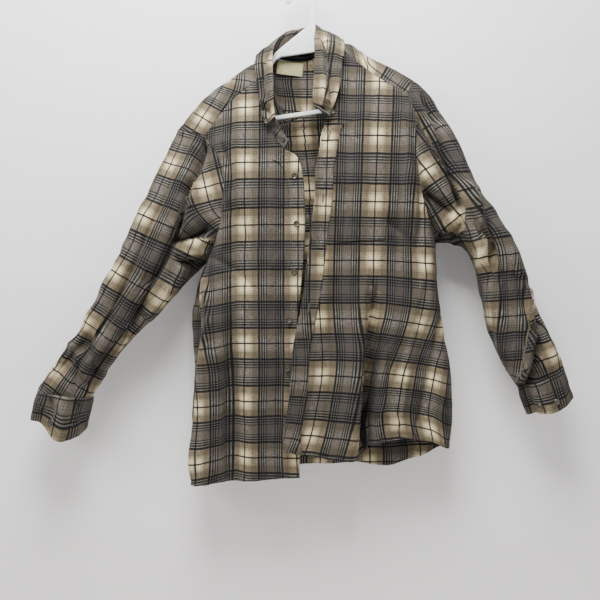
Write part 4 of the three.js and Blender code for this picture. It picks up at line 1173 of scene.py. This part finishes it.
button_band = band("right", 1)
buttonhole_band = band("left", -1)
BAND_SHIFT = (-9, -9)
buttonhole_band[..., 3:5] += BAND_SHIFT
chest_pocket = patch_on_front("left", -1, POCKET.top, POCKET.bottom, POCKET.rows, POCKET.inner,
                              POCKET.outer, POCKET.columns)


def layer(grid, sign, rows, columns):
    """A part of a grid moved out from the cloth."""
    moved = grid.copy()
    moved[..., :3] += normals_of(grid, sign) * PATCH_LIFT
    return moved[rows[0]:rows[1] + 1, columns[0]:columns[1] + 1]


ring_count = right_sleeve.shape[1] - 1
PLACKET = {"rows": (107, SLEEVE_ROWS), "columns": (round(ring_count * 0.775), round(ring_count * 0.865))}
right_placket = layer(right_sleeve, -1, PLACKET["rows"], PLACKET["columns"])
left_placket = layer(left_sleeve, 1, PLACKET["rows"], PLACKET["columns"])

# %% [markdown]
# A piece of cloth starts as a flat grid, like cloth on the cutting table. Each point is moved to its
# place in the drape, its place in the cloth becomes the UV map, and Solidify gives it a thickness.

# %% From a flat grid to a draped piece
CLOTH_THICKNESS = 1.2 * MM


def cloth_piece(name, grid, sign, material, nodes, thickness=CLOTH_THICKNESS):
    """Drapes a flat grid over the given points and stands for the named nodes of the frame."""
    rows, columns = grid.shape[0] - 1, grid.shape[1] - 1
    bm = bmesh.new()
    uv_layer = bm.loops.layers.uv.new("cloth")
    bmesh.ops.create_grid(bm, x_segments=columns, y_segments=rows, size=0.5)
    place = {}
    for vert in bm.verts:
        i = round((vert.co.x + 0.5) * columns)
        j = round((0.5 - vert.co.y) * rows)
        place[vert] = (j, i)
        vert.co = Vector(grid[j, i, :3]) * MM
    for face in bm.faces:
        face.smooth = True
        for loop in face.loops:
            j, i = place[loop.vert]
            loop[uv_layer].uv = grid[j, i, 3:5] * MM
    if sign > 0:
        bmesh.ops.reverse_faces(bm, faces=bm.faces)
    mesh = bpy.data.meshes.new(name)
    bm.to_mesh(mesh)
    bm.free()
    piece = new_object(name, mesh)
    piece.data.materials.append(material)
    wall_of_cloth = piece.modifiers.new("thickness", "SOLIDIFY")
    wall_of_cloth.thickness = thickness
    wall_of_cloth.offset = 0
    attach(piece, "root")
    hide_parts(*nodes)
    return piece


# %% [markdown]
# Shader maths reads best as plain expressions. This class wraps a socket, so that 1 - mask or a * b
# adds the Math node that it needs, and one method makes any other node.

# %% Writing shader maths


class Socket:
    """A shader socket that arithmetic works on."""

    def __init__(self, tree, socket):
        self.tree = tree
        self.socket = socket

    def node(self, kind, output=0, settings=None, **values):
        """Any node, with its settings first and then the values or links of its sockets."""
        made = self.tree.nodes.new(kind)
        for name, value in (settings or {}).items():
            setattr(made, name, value)
        for name, value in values.items():
            self.feed(made.inputs[int(name[1:]) if name[0] == "i" and name[1:].isdigit() else name], value)
        return Socket(self.tree, made.outputs[output])

    def feed(self, target, value):
        if isinstance(value, Socket):
            self.tree.links.new(value.socket, target)
        else:
            target.default_value = value

    def math(self, operation, *values):
        given = {f"i{k}": value for k, value in enumerate(values)}
        return self.node("ShaderNodeMath", settings={"operation": operation}, **given)

    def __add__(self, other):
        return self.math("ADD", self, other)

    __radd__ = __add__

    def __sub__(self, other):
        return self.math("SUBTRACT", self, other)

    def __rsub__(self, other):
        return self.math("SUBTRACT", other, self)

    def __mul__(self, other):
        return self.math("MULTIPLY", self, other)

    __rmul__ = __mul__

    def __truediv__(self, other):
        return self.math("DIVIDE", self, other)

    def __abs__(self):
        return self.math("ABSOLUTE", self)

    def fraction(self):
        return self.math("FRACT", self)

    def step(self, low, high):
        """0 below low, 1 above high and smooth between."""
        return self.node("ShaderNodeMapRange", settings={"interpolation_type": "SMOOTHSTEP"},
                         i0=self, i1=low, i2=high, i3=0.0, i4=1.0)


def new_material(name):
    """A material with its Principled shader and a wrapper to build nodes with."""
    material = bpy.data.materials.new(name)
    material.use_nodes = True
    tree = material.node_tree
    shader = tree.nodes["Principled BSDF"]
    return material, shader, Socket(tree, None)


def mix_colour(make, factor, a, b, blend="MIX"):
    """Two colours mixed by a factor."""
    node = make.tree.nodes.new("ShaderNodeMix")
    node.data_type = "RGBA"
    node.blend_type = blend
    for name, value in ((0, factor), (6, a), (7, b)):
        make.feed(node.inputs[name], value)
    return Socket(make.tree, node.outputs[2])


# %% [markdown]
# A ramp holds the colours of half a repeat, from that line to the middle of the grey stripe. Warp
# and weft each read it, and the two are mixed as twill mixes its threads.

# %% The check's colours
CREAM = (0.57, 0.49, 0.31)
WARM = (0.27, 0.222, 0.134)
TAN = (0.094, 0.075, 0.048)
BLACK = (0.0055, 0.0055, 0.006)
SOFT_BLACK = (0.0075, 0.0075, 0.008)
FAINT = (0.0125, 0.012, 0.0115)
GREY = (0.078, 0.073, 0.065)
TAUPE = (0.059, 0.051, 0.045)
HALF_SETT = SETT / 2
FINE_CHECK = 4.1
# How far each stripe reaches from the dark line in the pale stripe, in millimetres, and its colour.
# Two stripes meet softly over the blend after the first one's edge.
STRIPES = table("reach blend", [
    [1.1, 0.7], [7.0, 4.5], [12.5, 4.0], [26.6, 0.8], [30.6, 0.8], [32.6, 0.8], [35.6, 0.8],
    [37.4, 0.8], [40.0, 0.8], [42.2, 0.8], [44.4, 0.8], [HALF_SETT, 0.5],
])
STRIPE_COLOURS = [
    BLACK, CREAM, WARM, TAN, BLACK, GREY, SOFT_BLACK, GREY, SOFT_BLACK, GREY, FAINT, TAUPE,
]


def stripe_ramp(make, distance):
    """The colour of a thread by its distance from the dark line."""
    node = make.tree.nodes.new("ShaderNodeValToRGB")
    ramp = node.color_ramp
    stops = [(0.0, STRIPE_COLOURS[0])]
    for i in range(len(STRIPE_COLOURS) - 1):
        stops.append((STRIPES["reach"][i], STRIPE_COLOURS[i]))
        stops.append((STRIPES["reach"][i] + STRIPES["blend"][i], STRIPE_COLOURS[i + 1]))
    while len(ramp.elements) < len(stops):
        ramp.elements.new(1.0)
    for element, (place, colour) in zip(ramp.elements, stops):
        element.position = place / HALF_SETT
        element.color = (*colour, 1)
    make.feed(node.inputs["Fac"], distance)
    return Socket(make.tree, node.outputs["Color"])


def flannel():
    """Brushed cotton twill with the check, its nap and its faint threads."""
    material, shader, make = new_material("plaid_flannel")
    uv = make.node("ShaderNodeUVMap", settings={"uv_map": "cloth"})
    parts = make.tree.nodes.new("ShaderNodeSeparateXYZ")
    make.tree.links.new(uv.socket, parts.inputs[0])
    across = Socket(make.tree, parts.outputs["X"]) * (1 / (SETT * MM))
    down = Socket(make.tree, parts.outputs["Y"]) * (1 / (SETT * MM))

    def from_line(place):
        return abs((place + 0.5).fraction() - 0.5) * 2

    warp = stripe_ramp(make, from_line(across))
    weft = stripe_ramp(make, from_line(down))
    thread_map = make.node("ShaderNodeVectorMath", settings={"operation": "MULTIPLY"}, i0=uv, i1=(900, 90, 1))
    pick_map = make.node("ShaderNodeVectorMath", settings={"operation": "MULTIPLY"}, i0=uv, i1=(90, 900, 1))
    thread = make.node("ShaderNodeTexNoise", Vector=thread_map, Scale=1.0, Detail=2.0)
    pick = make.node("ShaderNodeTexNoise", Vector=pick_map, Scale=1.0, Detail=2.0)
    # Where two stripes cross, the darker thread tells more: the harmonic mean of the two colours.
    product = mix_colour(make, 1.0, warp, weft, "MULTIPLY")
    share = 0.5 + (thread - pick) * 1.1
    colour = mix_colour(make, 1.0, product, mix_colour(make, share, warp, weft), "DIVIDE")
    fine_across = ((across * (SETT / FINE_CHECK)).fraction() - 0.5)
    fine_down = ((down * (SETT / FINE_CHECK)).fraction() - 0.5)
    fine = (abs(fine_across) + abs(fine_down) - 0.5) * 0.6
    slub = 1.0 + ((thread + pick) - 1.0) * 0.6 + fine
    colour = make.node("ShaderNodeVectorMath", settings={"operation": "SCALE"}, i0=colour, i3=slub)
    make.tree.links.new(colour.socket, shader.inputs["Base Color"])
    nap = make.node("ShaderNodeTexNoise", Vector=uv, Scale=1400.0, Detail=3.0)
    height = (thread + pick) * 0.5 + nap * 0.6
    bump = make.node("ShaderNodeBump", Height=height, Strength=0.35, Distance=0.0006)
    make.tree.links.new(bump.socket, shader.inputs["Normal"])
    shader.inputs["Roughness"].default_value = 0.94
    shader.inputs["Specular IOR Level"].default_value = 0.1
    shader.inputs["Sheen Weight"].default_value = 0.05
    shader.inputs["Sheen Roughness"].default_value = 0.55
    shader.inputs["Sheen Tint"].default_value = (0.93, 0.9, 0.84, 1)
    return material


plaid = flannel()

# %% [markdown]
# Each panel becomes its piece now.

# %% The cloth pieces
PIECES = [
    ("right_front_cloth", right_front, 1, "right_front"),
    ("left_front_cloth", left_front, -1, "left_front"),
    ("back_cloth", back, 1, "back"),
    ("yoke_cloth", yoke, 1, "yoke"),
    ("right_sleeve_cloth", right_sleeve, -1, "right_sleeve"),
    ("left_sleeve_cloth", left_sleeve, 1, "left_sleeve"),
    ("right_cuff_cloth", right_cuff, -1, "right_cuff"),
    ("left_cuff_cloth", left_cuff, 1, "left_cuff"),
    ("button_band_cloth", button_band, 1, "button_band"),
    ("buttonhole_band_cloth", buttonhole_band, -1, "buttonhole_band"),
    ("chest_pocket_cloth", chest_pocket, -1, "chest_pocket"),
    ("right_placket_cloth", right_placket, -1, "right_placket"),
    ("left_placket_cloth", left_placket, 1, "left_placket"),
    ("collar_stand_cloth", stand, 1, "collar_stand"),
    ("collar_leaf_cloth", leaf, -1, "collar_leaf"),
]
for i, (name, grid, sign, node) in enumerate(PIECES):
    cloth_piece(name, grid, sign, plaid, [node])

# %% [markdown]
# Sewing thread shows as a row of short stitches beside every edge that was turned and sewn down. One
# stitch is a slim prism, and a line of them follows the grid of the piece that it is sewn on. The
# thread is a little paler than the check's grey, with a twist that a noise pattern gives it.

# %% Sewing thread
STITCH = SimpleNamespace(length=2.2, pitch=3.2, radius=0.22, sides=4, lift=0.7)


def cotton_thread():
    material, shader, make = new_material("cotton_thread")
    place = make.node("ShaderNodeTexCoord", output=3)
    twist = make.node("ShaderNodeTexNoise", Vector=place, Scale=2600.0, Detail=2.0)
    colour = mix_colour(make, twist, (0.045, 0.040, 0.033, 1), (0.115, 0.103, 0.084, 1))
    make.tree.links.new(colour.socket, shader.inputs["Base Color"])
    bump = make.node("ShaderNodeBump", Height=twist, Strength=0.4, Distance=0.0002)
    make.tree.links.new(bump.socket, shader.inputs["Normal"])
    shader.inputs["Roughness"].default_value = 0.8
    shader.inputs["Sheen Weight"].default_value = 0.1
    return material


def strand(bm, start, end, radius, sides):
    """A short piece of thread between two points."""
    start, end = Vector(start) * MM, Vector(end) * MM
    run = end - start
    turn = run.to_track_quat("Z", "Y").to_matrix().to_4x4()
    place = Matrix.Translation((start + end) / 2) @ turn
    bmesh.ops.create_cone(bm, cap_ends=True, segments=sides, radius1=radius * MM, radius2=radius * MM,
                          depth=run.length, matrix=place)


def sample(values, rows, columns):
    """A grid read between its points."""
    i = np.clip(np.floor(rows).astype(int), 0, values.shape[0] - 2)
    j = np.clip(np.floor(columns).astype(int), 0, values.shape[1] - 2)
    s, t = (rows - i)[:, None], (columns - j)[:, None]
    top = mix(values[i, j], values[i, j + 1], t)
    bottom = mix(values[i + 1, j], values[i + 1, j + 1], t)
    return mix(top, bottom, s)


def stitch_line(bm, grid, sign, corners):
    """A row of stitches through corners that are given as shares of the grid's rows and columns."""
    corners = np.array(corners, float) * (grid.shape[0] - 1, grid.shape[1] - 1)
    normals = normals_of(grid, sign)
    for first, second in zip(corners, corners[1:]):
        index = np.linspace(first, second, 400)
        line = sample(grid[..., :3], *index.T) + sample(normals, *index.T) * STITCH.lift
        count = int(along(line)[-1] / STITCH.pitch)
        ends = even(line, max(count, 1))
        for start, stop in zip(ends, ends[1:]):
            reach = STITCH.length / STITCH.pitch
            strand(bm, start, mix(start, stop, reach), STITCH.radius, STITCH.sides)


def finish_piece(bm, name, material, nodes=()):
    """A finished small piece that rides on the one body."""
    bmesh.ops.recalc_face_normals(bm, faces=bm.faces)
    mesh = bpy.data.meshes.new(name)
    bm.to_mesh(mesh)
    bm.free()
    mesh.materials.append(material)
    piece = new_object(name, mesh)
    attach(piece, "root")
    if nodes:
        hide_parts(*nodes)
    return piece


thread = cotton_thread()
# Each line: the piece, its outward sign, and the corners as shares of rows and columns
STITCH_LINES = {
    "band_stitches": [
        (button_band, 1, [(0.01, 0.15), (0.995, 0.15)]), (button_band, 1, [(0.01, 0.85), (0.995, 0.85)]),
        (buttonhole_band, -1, [(0.01, 0.15), (0.995, 0.15)]),
        (buttonhole_band, -1, [(0.01, 0.85), (0.995, 0.85)]),
    ],
    "hem_stitches": [
        (right_front, 1, [(0.988, 0.16), (0.988, 0.99)]), (left_front, -1, [(0.988, 0.12), (0.988, 0.99)]),
        (back, 1, [(0.988, 0.01), (0.988, 0.99)]),
    ],
    "pocket_stitches": [
        (chest_pocket, -1, [(0.01, 0.02), (0.98, 0.02), (0.98, 0.98), (0.01, 0.98)]),
        (chest_pocket, -1, [(0.26, 0.02), (0.26, 0.98)]), (chest_pocket, -1, [(0.26, 0.16), (0.98, 0.16)]),
    ],
    "yoke_stitches": [
        (yoke, 1, [(0.01, 0.965), (0.32, 0.965)]), (yoke, 1, [(0.68, 0.965), (0.99, 0.965)]),
        (yoke, 1, [(0.01, 0.03), (0.99, 0.03)]),
    ],
    "armhole_stitches": [
        (right_front, 1, [(0.01, 0.975), (0.335, 0.975)]), (left_front, -1, [(0.01, 0.975), (0.335, 0.975)]),
        (back, 1, [(0.01, 0.012), (0.335, 0.012)]), (back, 1, [(0.01, 0.988), (0.335, 0.988)]),
        (yoke, 1, [(0.012, 0.03), (0.012, 0.97)]), (yoke, 1, [(0.988, 0.03), (0.988, 0.97)]),
    ],
    "cuff_stitches": [
        (right_cuff, -1, [(0.12, 0.01), (0.12, 0.99), (0.9, 0.99), (0.9, 0.01)]),
        (left_cuff, 1, [(0.12, 0.01), (0.12, 0.99), (0.9, 0.99), (0.9, 0.01)]),
    ],
    "placket_stitches": [
        (right_placket, -1, [(0.98, 0.12), (0.02, 0.12), (0.02, 0.88), (0.98, 0.88)]),
        (left_placket, 1, [(0.98, 0.12), (0.02, 0.12), (0.02, 0.88), (0.98, 0.88)]),
    ],
    "collar_stitches": [
        (leaf, -1, [(0.01, 0.3), (0.01, 0.88), (0.99, 0.88), (0.99, 0.3)]),
        (stand, 1, [(0.01, 0.1), (0.99, 0.1)]),
    ],
}
for name, lines in STITCH_LINES.items():
    bm = bmesh.new()
    for grid, sign, corners in lines:
        stitch_line(bm, grid, sign, corners)
    piece = finish_piece(bm, name, thread)
    print(name, len(piece.data.polygons), "faces")

# %% [markdown]
# A buttonhole is a slit with thread packed along both lips and a bar across each end. The bands have
# upright ones, the cuffs and the collar points have ones that follow their own edges.

# %% Buttonholes
BUTTONHOLE = SimpleNamespace(length=14, lip=1.2, slit=0.35, pitch=0.9, radius=0.4, bar=2.2)


def buttonhole(bm, grid, sign, place, turn):
    """Lips of thread round a slit, at a share of rows and columns. A turn of 0 runs down the rows."""
    index = np.array([place]) * (grid.shape[0] - 1, grid.shape[1] - 1)
    centre = sample(grid[..., :3], *index.T)[0]
    normal = sample(normals_of(grid, sign), *index.T)[0]
    down = sample(np.gradient(grid[..., :3], axis=0), *index.T)[0]
    down /= np.linalg.norm(down)
    side = np.cross(normal, down)
    long_way = down * math.cos(turn) + side * math.sin(turn)
    short_way = np.cross(normal, long_way)
    centre = centre + normal * STITCH.lift
    half = BUTTONHOLE.length / 2
    for step in np.arange(-half, half + 0.01, BUTTONHOLE.pitch):
        for lip in (-1, 1):
            inner = centre + long_way * step + short_way * lip * BUTTONHOLE.slit
            strand(bm, inner, inner + short_way * lip * BUTTONHOLE.lip, BUTTONHOLE.radius, 4)
    for tip in (-1, 1):
        bar = centre + long_way * half * tip
        strand(bm, bar - short_way * BUTTONHOLE.bar, bar + short_way * BUTTONHOLE.bar, BUTTONHOLE.radius * 1.3, 5)


QUARTER = math.pi / 2
bm = bmesh.new()
for k in range(6):
    buttonhole(bm, buttonhole_band, -1, (0.074 + 0.142 * k, 0.46), 0)
for share in (0.3, 0.68):
    buttonhole(bm, right_cuff, -1, (share, 0.955), QUARTER)
    buttonhole(bm, left_cuff, 1, (share, 0.955), QUARTER)
buttonhole(bm, leaf, -1, (0.022, 0.72), QUARTER)
buttonhole(bm, leaf, -1, (0.978, 0.72), QUARTER)
buttonholes = finish_piece(bm, "buttonholes", thread)
print("buttonholes", len(buttonholes.data.polygons), "faces")

# %% [markdown]
# The buttons are turned discs with a raised rim, a dished face and four holes, sewn on with crossed
# thread. One blank is turned on the lathe, drilled with a Boolean, and set in the place of each plain
# button of the frame. Their brown resin has a faint cloud in it and a polished rim.

# %% Buttons
BUTTON_PROFILE = [
    (0, 0), (3.6, 0), (4.9, 0.3), (5.5, 0.8), (5.7, 1.4), (5.55, 2.1), (5.15, 2.5), (4.6, 2.6), (4.1, 2.45),
    (3.7, 2.0), (3.2, 1.75), (0, 1.7),
]
BUTTON = SimpleNamespace(radius=5.7, height=2.6, well=1.7, hole=0.72, hole_place=1.3, sides=28)


def drilled_button():
    """The button's own mesh, in millimetres, with its back at the origin."""
    bm = bmesh.new()
    verts = [bm.verts.new((r, 0, h)) for r, h in BUTTON_PROFILE]
    edges = [bm.edges.new(pair) for pair in zip(verts, verts[1:])]
    bmesh.ops.spin(bm, geom=verts + edges, axis=(0, 0, 1), cent=(0, 0, 0), steps=BUTTON.sides,
                   angle=2 * math.pi, use_merge=True)
    bmesh.ops.remove_doubles(bm, verts=bm.verts, dist=0.001)
    bmesh.ops.recalc_face_normals(bm, faces=bm.faces)
    blank = bpy.data.meshes.new("button_blank")
    bm.to_mesh(blank)
    bm.clear()
    for quarter in range(4):
        angle = math.pi / 4 + quarter * QUARTER
        place = Matrix.Translation((BUTTON.hole_place * math.cos(angle), BUTTON.hole_place * math.sin(angle), 1))
        bmesh.ops.create_cone(bm, cap_ends=True, segments=10, radius1=BUTTON.hole, radius2=BUTTON.hole,
                              depth=6, matrix=place)
    drills = bpy.data.meshes.new("button_drills")
    bm.to_mesh(drills)
    bm.free()
    blank_object, drill_object = new_object("button_blank", blank), new_object("button_drills", drills)
    cut = blank_object.modifiers.new("holes", "BOOLEAN")
    cut.operation = "DIFFERENCE"
    cut.solver = "EXACT"
    cut.object = drill_object
    bpy.context.view_layer.update()
    scene_state = bpy.context.evaluated_depsgraph_get()
    drilled = bpy.data.meshes.new_from_object(blank_object.evaluated_get(scene_state))
    for spare in (blank_object, drill_object):
        bpy.data.objects.remove(spare)
    return drilled


def resin():
    material, shader, make = new_material("button_plastic")
    place = make.node("ShaderNodeTexCoord", output=3)
    cloud = make.node("ShaderNodeTexNoise", Vector=place, Scale=420.0, Detail=3.0, Distortion=1.2)
    colour = mix_colour(make, cloud.step(0.35, 0.68), (0.022, 0.019, 0.012, 1), (0.085, 0.074, 0.048, 1))
    make.tree.links.new(colour.socket, shader.inputs["Base Color"])
    scuffs = make.node("ShaderNodeTexNoise", Vector=place, Scale=1500.0, Detail=2.0)
    make.tree.links.new((scuffs * 0.14 + 0.16).socket, shader.inputs["Roughness"])
    shader.inputs["Coat Weight"].default_value = 0.3
    shader.inputs["Coat Roughness"].default_value = 0.1
    return material


def seat(name):
    """Where a small flat node of the frame sits: its middle, its directions and its sizes, in mm."""
    points = np.array([vert.co[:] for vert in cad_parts[name].data.vertices]) / MM
    centre = points.mean(axis=0)
    axes = np.linalg.svd(points - centre, full_matrices=False)[2]
    spread = (points - centre) @ axes.T
    centre = centre + ((spread.min(axis=0) + spread.max(axis=0)) / 2) @ axes
    return SimpleNamespace(centre=centre, axes=axes, size=np.ptp(spread, axis=0))


CUFF_MIDDLES = {"right": right_cuff[..., :3].mean(axis=(0, 1)), "left": left_cuff[..., :3].mean(axis=(0, 1))}
button_names = [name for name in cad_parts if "button" in name and "band" not in name]
blank = drilled_button()
brown_resin = resin()
sewing = bmesh.new()
for name in button_names:
    place = seat(name)
    facing = place.axes[2]
    if "cuff" in name:
        outward = facing @ (place.centre - CUFF_MIDDLES[name.split("_")[0]])
    else:
        outward = -facing[1]
    facing = facing * (1 if outward > 0 else -1)
    down = np.array([0, 0, -1.0])
    right = np.cross(down, facing)
    right /= np.linalg.norm(right)
    down = np.cross(facing, right)
    scale = place.size[0] / 2 / BUTTON.radius
    thick = place.size[2] / BUTTON.height
    origin = place.centre - facing * place.size[2] / 2
    turn = np.eye(4)
    turn[:3, 0], turn[:3, 1] = right * scale, down * scale
    turn[:3, 2], turn[:3, 3] = facing * thick, origin
    bm = bmesh.new()
    bm.from_mesh(blank)
    bmesh.ops.transform(bm, matrix=Matrix.Scale(MM, 4) @ Matrix(turn.tolist()), verts=bm.verts)
    button = finish_piece(bm, f"{name}_turned", brown_resin, [name])
    reach = BUTTON.hole_place * scale
    for across, along_way in ((right + down, 1), (right - down, 1)):
        arm = across / math.sqrt(2) * reach
        high = origin + facing * (BUTTON.well + 0.25) * thick
        low = origin + facing * 0.3
        for end in (-1, 1):
            strand(sewing, high + arm * end, low + arm * end * 1.02, 0.34 * scale, 6)
        strand(sewing, high - arm, high + arm, 0.36 * scale, 6)
finish_piece(sewing, "button_threads", thread)
print("buttons", len(button_names))

# %% [markdown]
# The neck label is a short woven tape, left bare. It is soft, so it gets a small wave and its ends
# are sewn down. Its satin weave is two crossed waves, far finer than the check.

# %% Neck label
LABEL_GRID = SimpleNamespace(rows=14, columns=22, wave=0.25)


def woven_tape():
    material, shader, make = new_material("label_tape")
    uv = make.node("ShaderNodeUVMap", settings={"uv_map": "cloth"})
    across, down = {"bands_direction": "X"}, {"bands_direction": "Y"}
    warp_lines = make.node("ShaderNodeTexWave", output=1, settings=across, Vector=uv, Scale=420.0)
    weft_lines = make.node("ShaderNodeTexWave", output=1, settings=down, Vector=uv, Scale=640.0)
    worn = make.node("ShaderNodeTexNoise", Vector=uv, Scale=160.0, Detail=3.0)
    weave = (warp_lines + weft_lines) * 0.5
    share = weave * 0.4 + worn * 0.6
    colour = mix_colour(make, share, (0.34, 0.315, 0.15, 1), (0.58, 0.545, 0.29, 1))
    make.tree.links.new(colour.socket, shader.inputs["Base Color"])
    bump = make.node("ShaderNodeBump", Height=weave, Strength=0.3, Distance=0.0002)
    make.tree.links.new(bump.socket, shader.inputs["Normal"])
    shader.inputs["Roughness"].default_value = 0.7
    shader.inputs["Sheen Weight"].default_value = 0.15
    return material


def label_grid():
    """The tape over its plain solid, with a small wave in it."""
    place = seat("neck_label")
    right = place.axes[0] * np.sign(place.axes[0][0])
    facing = place.axes[2] * -np.sign(place.axes[2][1])
    down = np.cross(right, facing)
    down = down * -np.sign(down[2])
    rows = []
    for t in np.linspace(-0.5, 0.5, LABEL_GRID.rows + 1):
        row = []
        for s in np.linspace(-0.5, 0.5, LABEL_GRID.columns + 1):
            wave = LABEL_GRID.wave * (math.sin(7 * s + 2 * t) + math.sin(5 * t + 1))
            point = place.centre + right * s * place.size[0] + down * t * place.size[1] + facing * wave
            row.append([*point, s * place.size[0], t * place.size[1]])
        rows.append(row)
    return np.array(rows), facing


label, label_facing = label_grid()
label_sign = 1 if normals_of(label, 1)[0, 0] @ label_facing > 0 else -1
tape = cloth_piece("neck_label_tape", label, label_sign, woven_tape(), ["neck_label"], thickness=0.6 * MM)
label_size = seat("neck_label").size * MM
bm = bmesh.new()
for share in (0.05, 0.95):
    stitch_line(bm, label, label_sign, [(0.03, share), (0.97, share)])
finish_piece(bm, "label_stitches", thread)
print("label", [round(value, 4) for value in label_size])

# %% [markdown]
# The hanger is moulded from glossy white plastic: one smooth skin with rounded edges. A copy of its
# solid is merged and bevelled. The wall is matt paint, a little warmer low down, with long shallow
# waves that only a light from above shows.

# %% Hanger and wall
HANGER_BEVEL = SimpleNamespace(width=0.8 * MM, segments=2, angle=math.radians(35))


def moulded_plastic():
    material, shader, make = new_material("hanger_plastic")
    place = make.node("ShaderNodeTexCoord", output=3)
    flow = make.node("ShaderNodeTexNoise", Vector=place, Scale=60.0, Detail=3.0)
    colour = mix_colour(make, flow, (0.74, 0.75, 0.74, 1), (0.86, 0.865, 0.86, 1))
    make.tree.links.new(colour.socket, shader.inputs["Base Color"])
    make.tree.links.new((flow * 0.18 + 0.2).socket, shader.inputs["Roughness"])
    skin = make.node("ShaderNodeTexNoise", Vector=place, Scale=240.0, Detail=2.0)
    bump = make.node("ShaderNodeBump", Height=skin, Strength=0.08, Distance=0.0006)
    make.tree.links.new(bump.socket, shader.inputs["Normal"])
    shader.inputs["Subsurface Weight"].default_value = 0.08
    return material


def matt_paint(name):
    material, shader, make = new_material(name)
    place = make.node("ShaderNodeTexCoord", output=3)
    parts = make.tree.nodes.new("ShaderNodeSeparateXYZ")
    make.tree.links.new(place.socket, parts.inputs[0])
    low = Socket(make.tree, parts.outputs["Z"]).step(-0.45, -1.15)
    colour = mix_colour(make, low, (0.90, 0.905, 0.905, 1), (0.93, 0.905, 0.89, 1))
    make.tree.links.new(colour.socket, shader.inputs["Base Color"])
    stretched = make.node("ShaderNodeVectorMath", settings={"operation": "MULTIPLY"}, i0=place, i1=(1.6, 1, 9))
    waves = make.node("ShaderNodeTexNoise", Vector=stretched, Scale=1.0, Detail=2.0)
    grain = make.node("ShaderNodeTexNoise", Vector=place, Scale=500.0, Detail=2.0)
    bump = make.node("ShaderNodeBump", Height=waves + grain * 0.01, Strength=0.25, Distance=0.02)
    make.tree.links.new(bump.socket, shader.inputs["Normal"])
    shader.inputs["Roughness"].default_value = 0.9
    return material, shader, make


def clear_from_behind(material, shader, make):
    """Lets the shirt be seen and lit from behind the wall, which is only a backdrop."""
    back_side = make.node("ShaderNodeNewGeometry", output=6)
    shadow_ray = make.node("ShaderNodeLightPath", output=1)
    clear = make.node("ShaderNodeBsdfTransparent")
    paint_side = Socket(make.tree, shader.outputs["BSDF"])
    either = back_side.math("MAXIMUM", back_side, shadow_ray)
    both = make.node("ShaderNodeMixShader", i0=either, i1=paint_side, i2=clear)
    make.tree.links.new(both.socket, make.tree.nodes["Material Output"].inputs["Surface"])


bm = bmesh.new()
bm.from_mesh(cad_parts["hanger"].data)
bmesh.ops.remove_doubles(bm, verts=bm.verts, dist=1e-5)
for face in bm.faces:
    face.smooth = True
hanger = finish_piece(bm, "moulded_hanger", moulded_plastic(), ["hanger"])
rounding = hanger.modifiers.new("rounding", "BEVEL")
rounding.width = HANGER_BEVEL.width
rounding.segments = HANGER_BEVEL.segments
rounding.limit_method = "ANGLE"
rounding.angle_limit = HANGER_BEVEL.angle
rounding.harden_normals = True
wall_paint = matt_paint("wall_paint")
clear_from_behind(*wall_paint)
wall.data.materials.append(wall_paint[0])
floor.data.materials.append(matt_paint("floor_paint")[0])
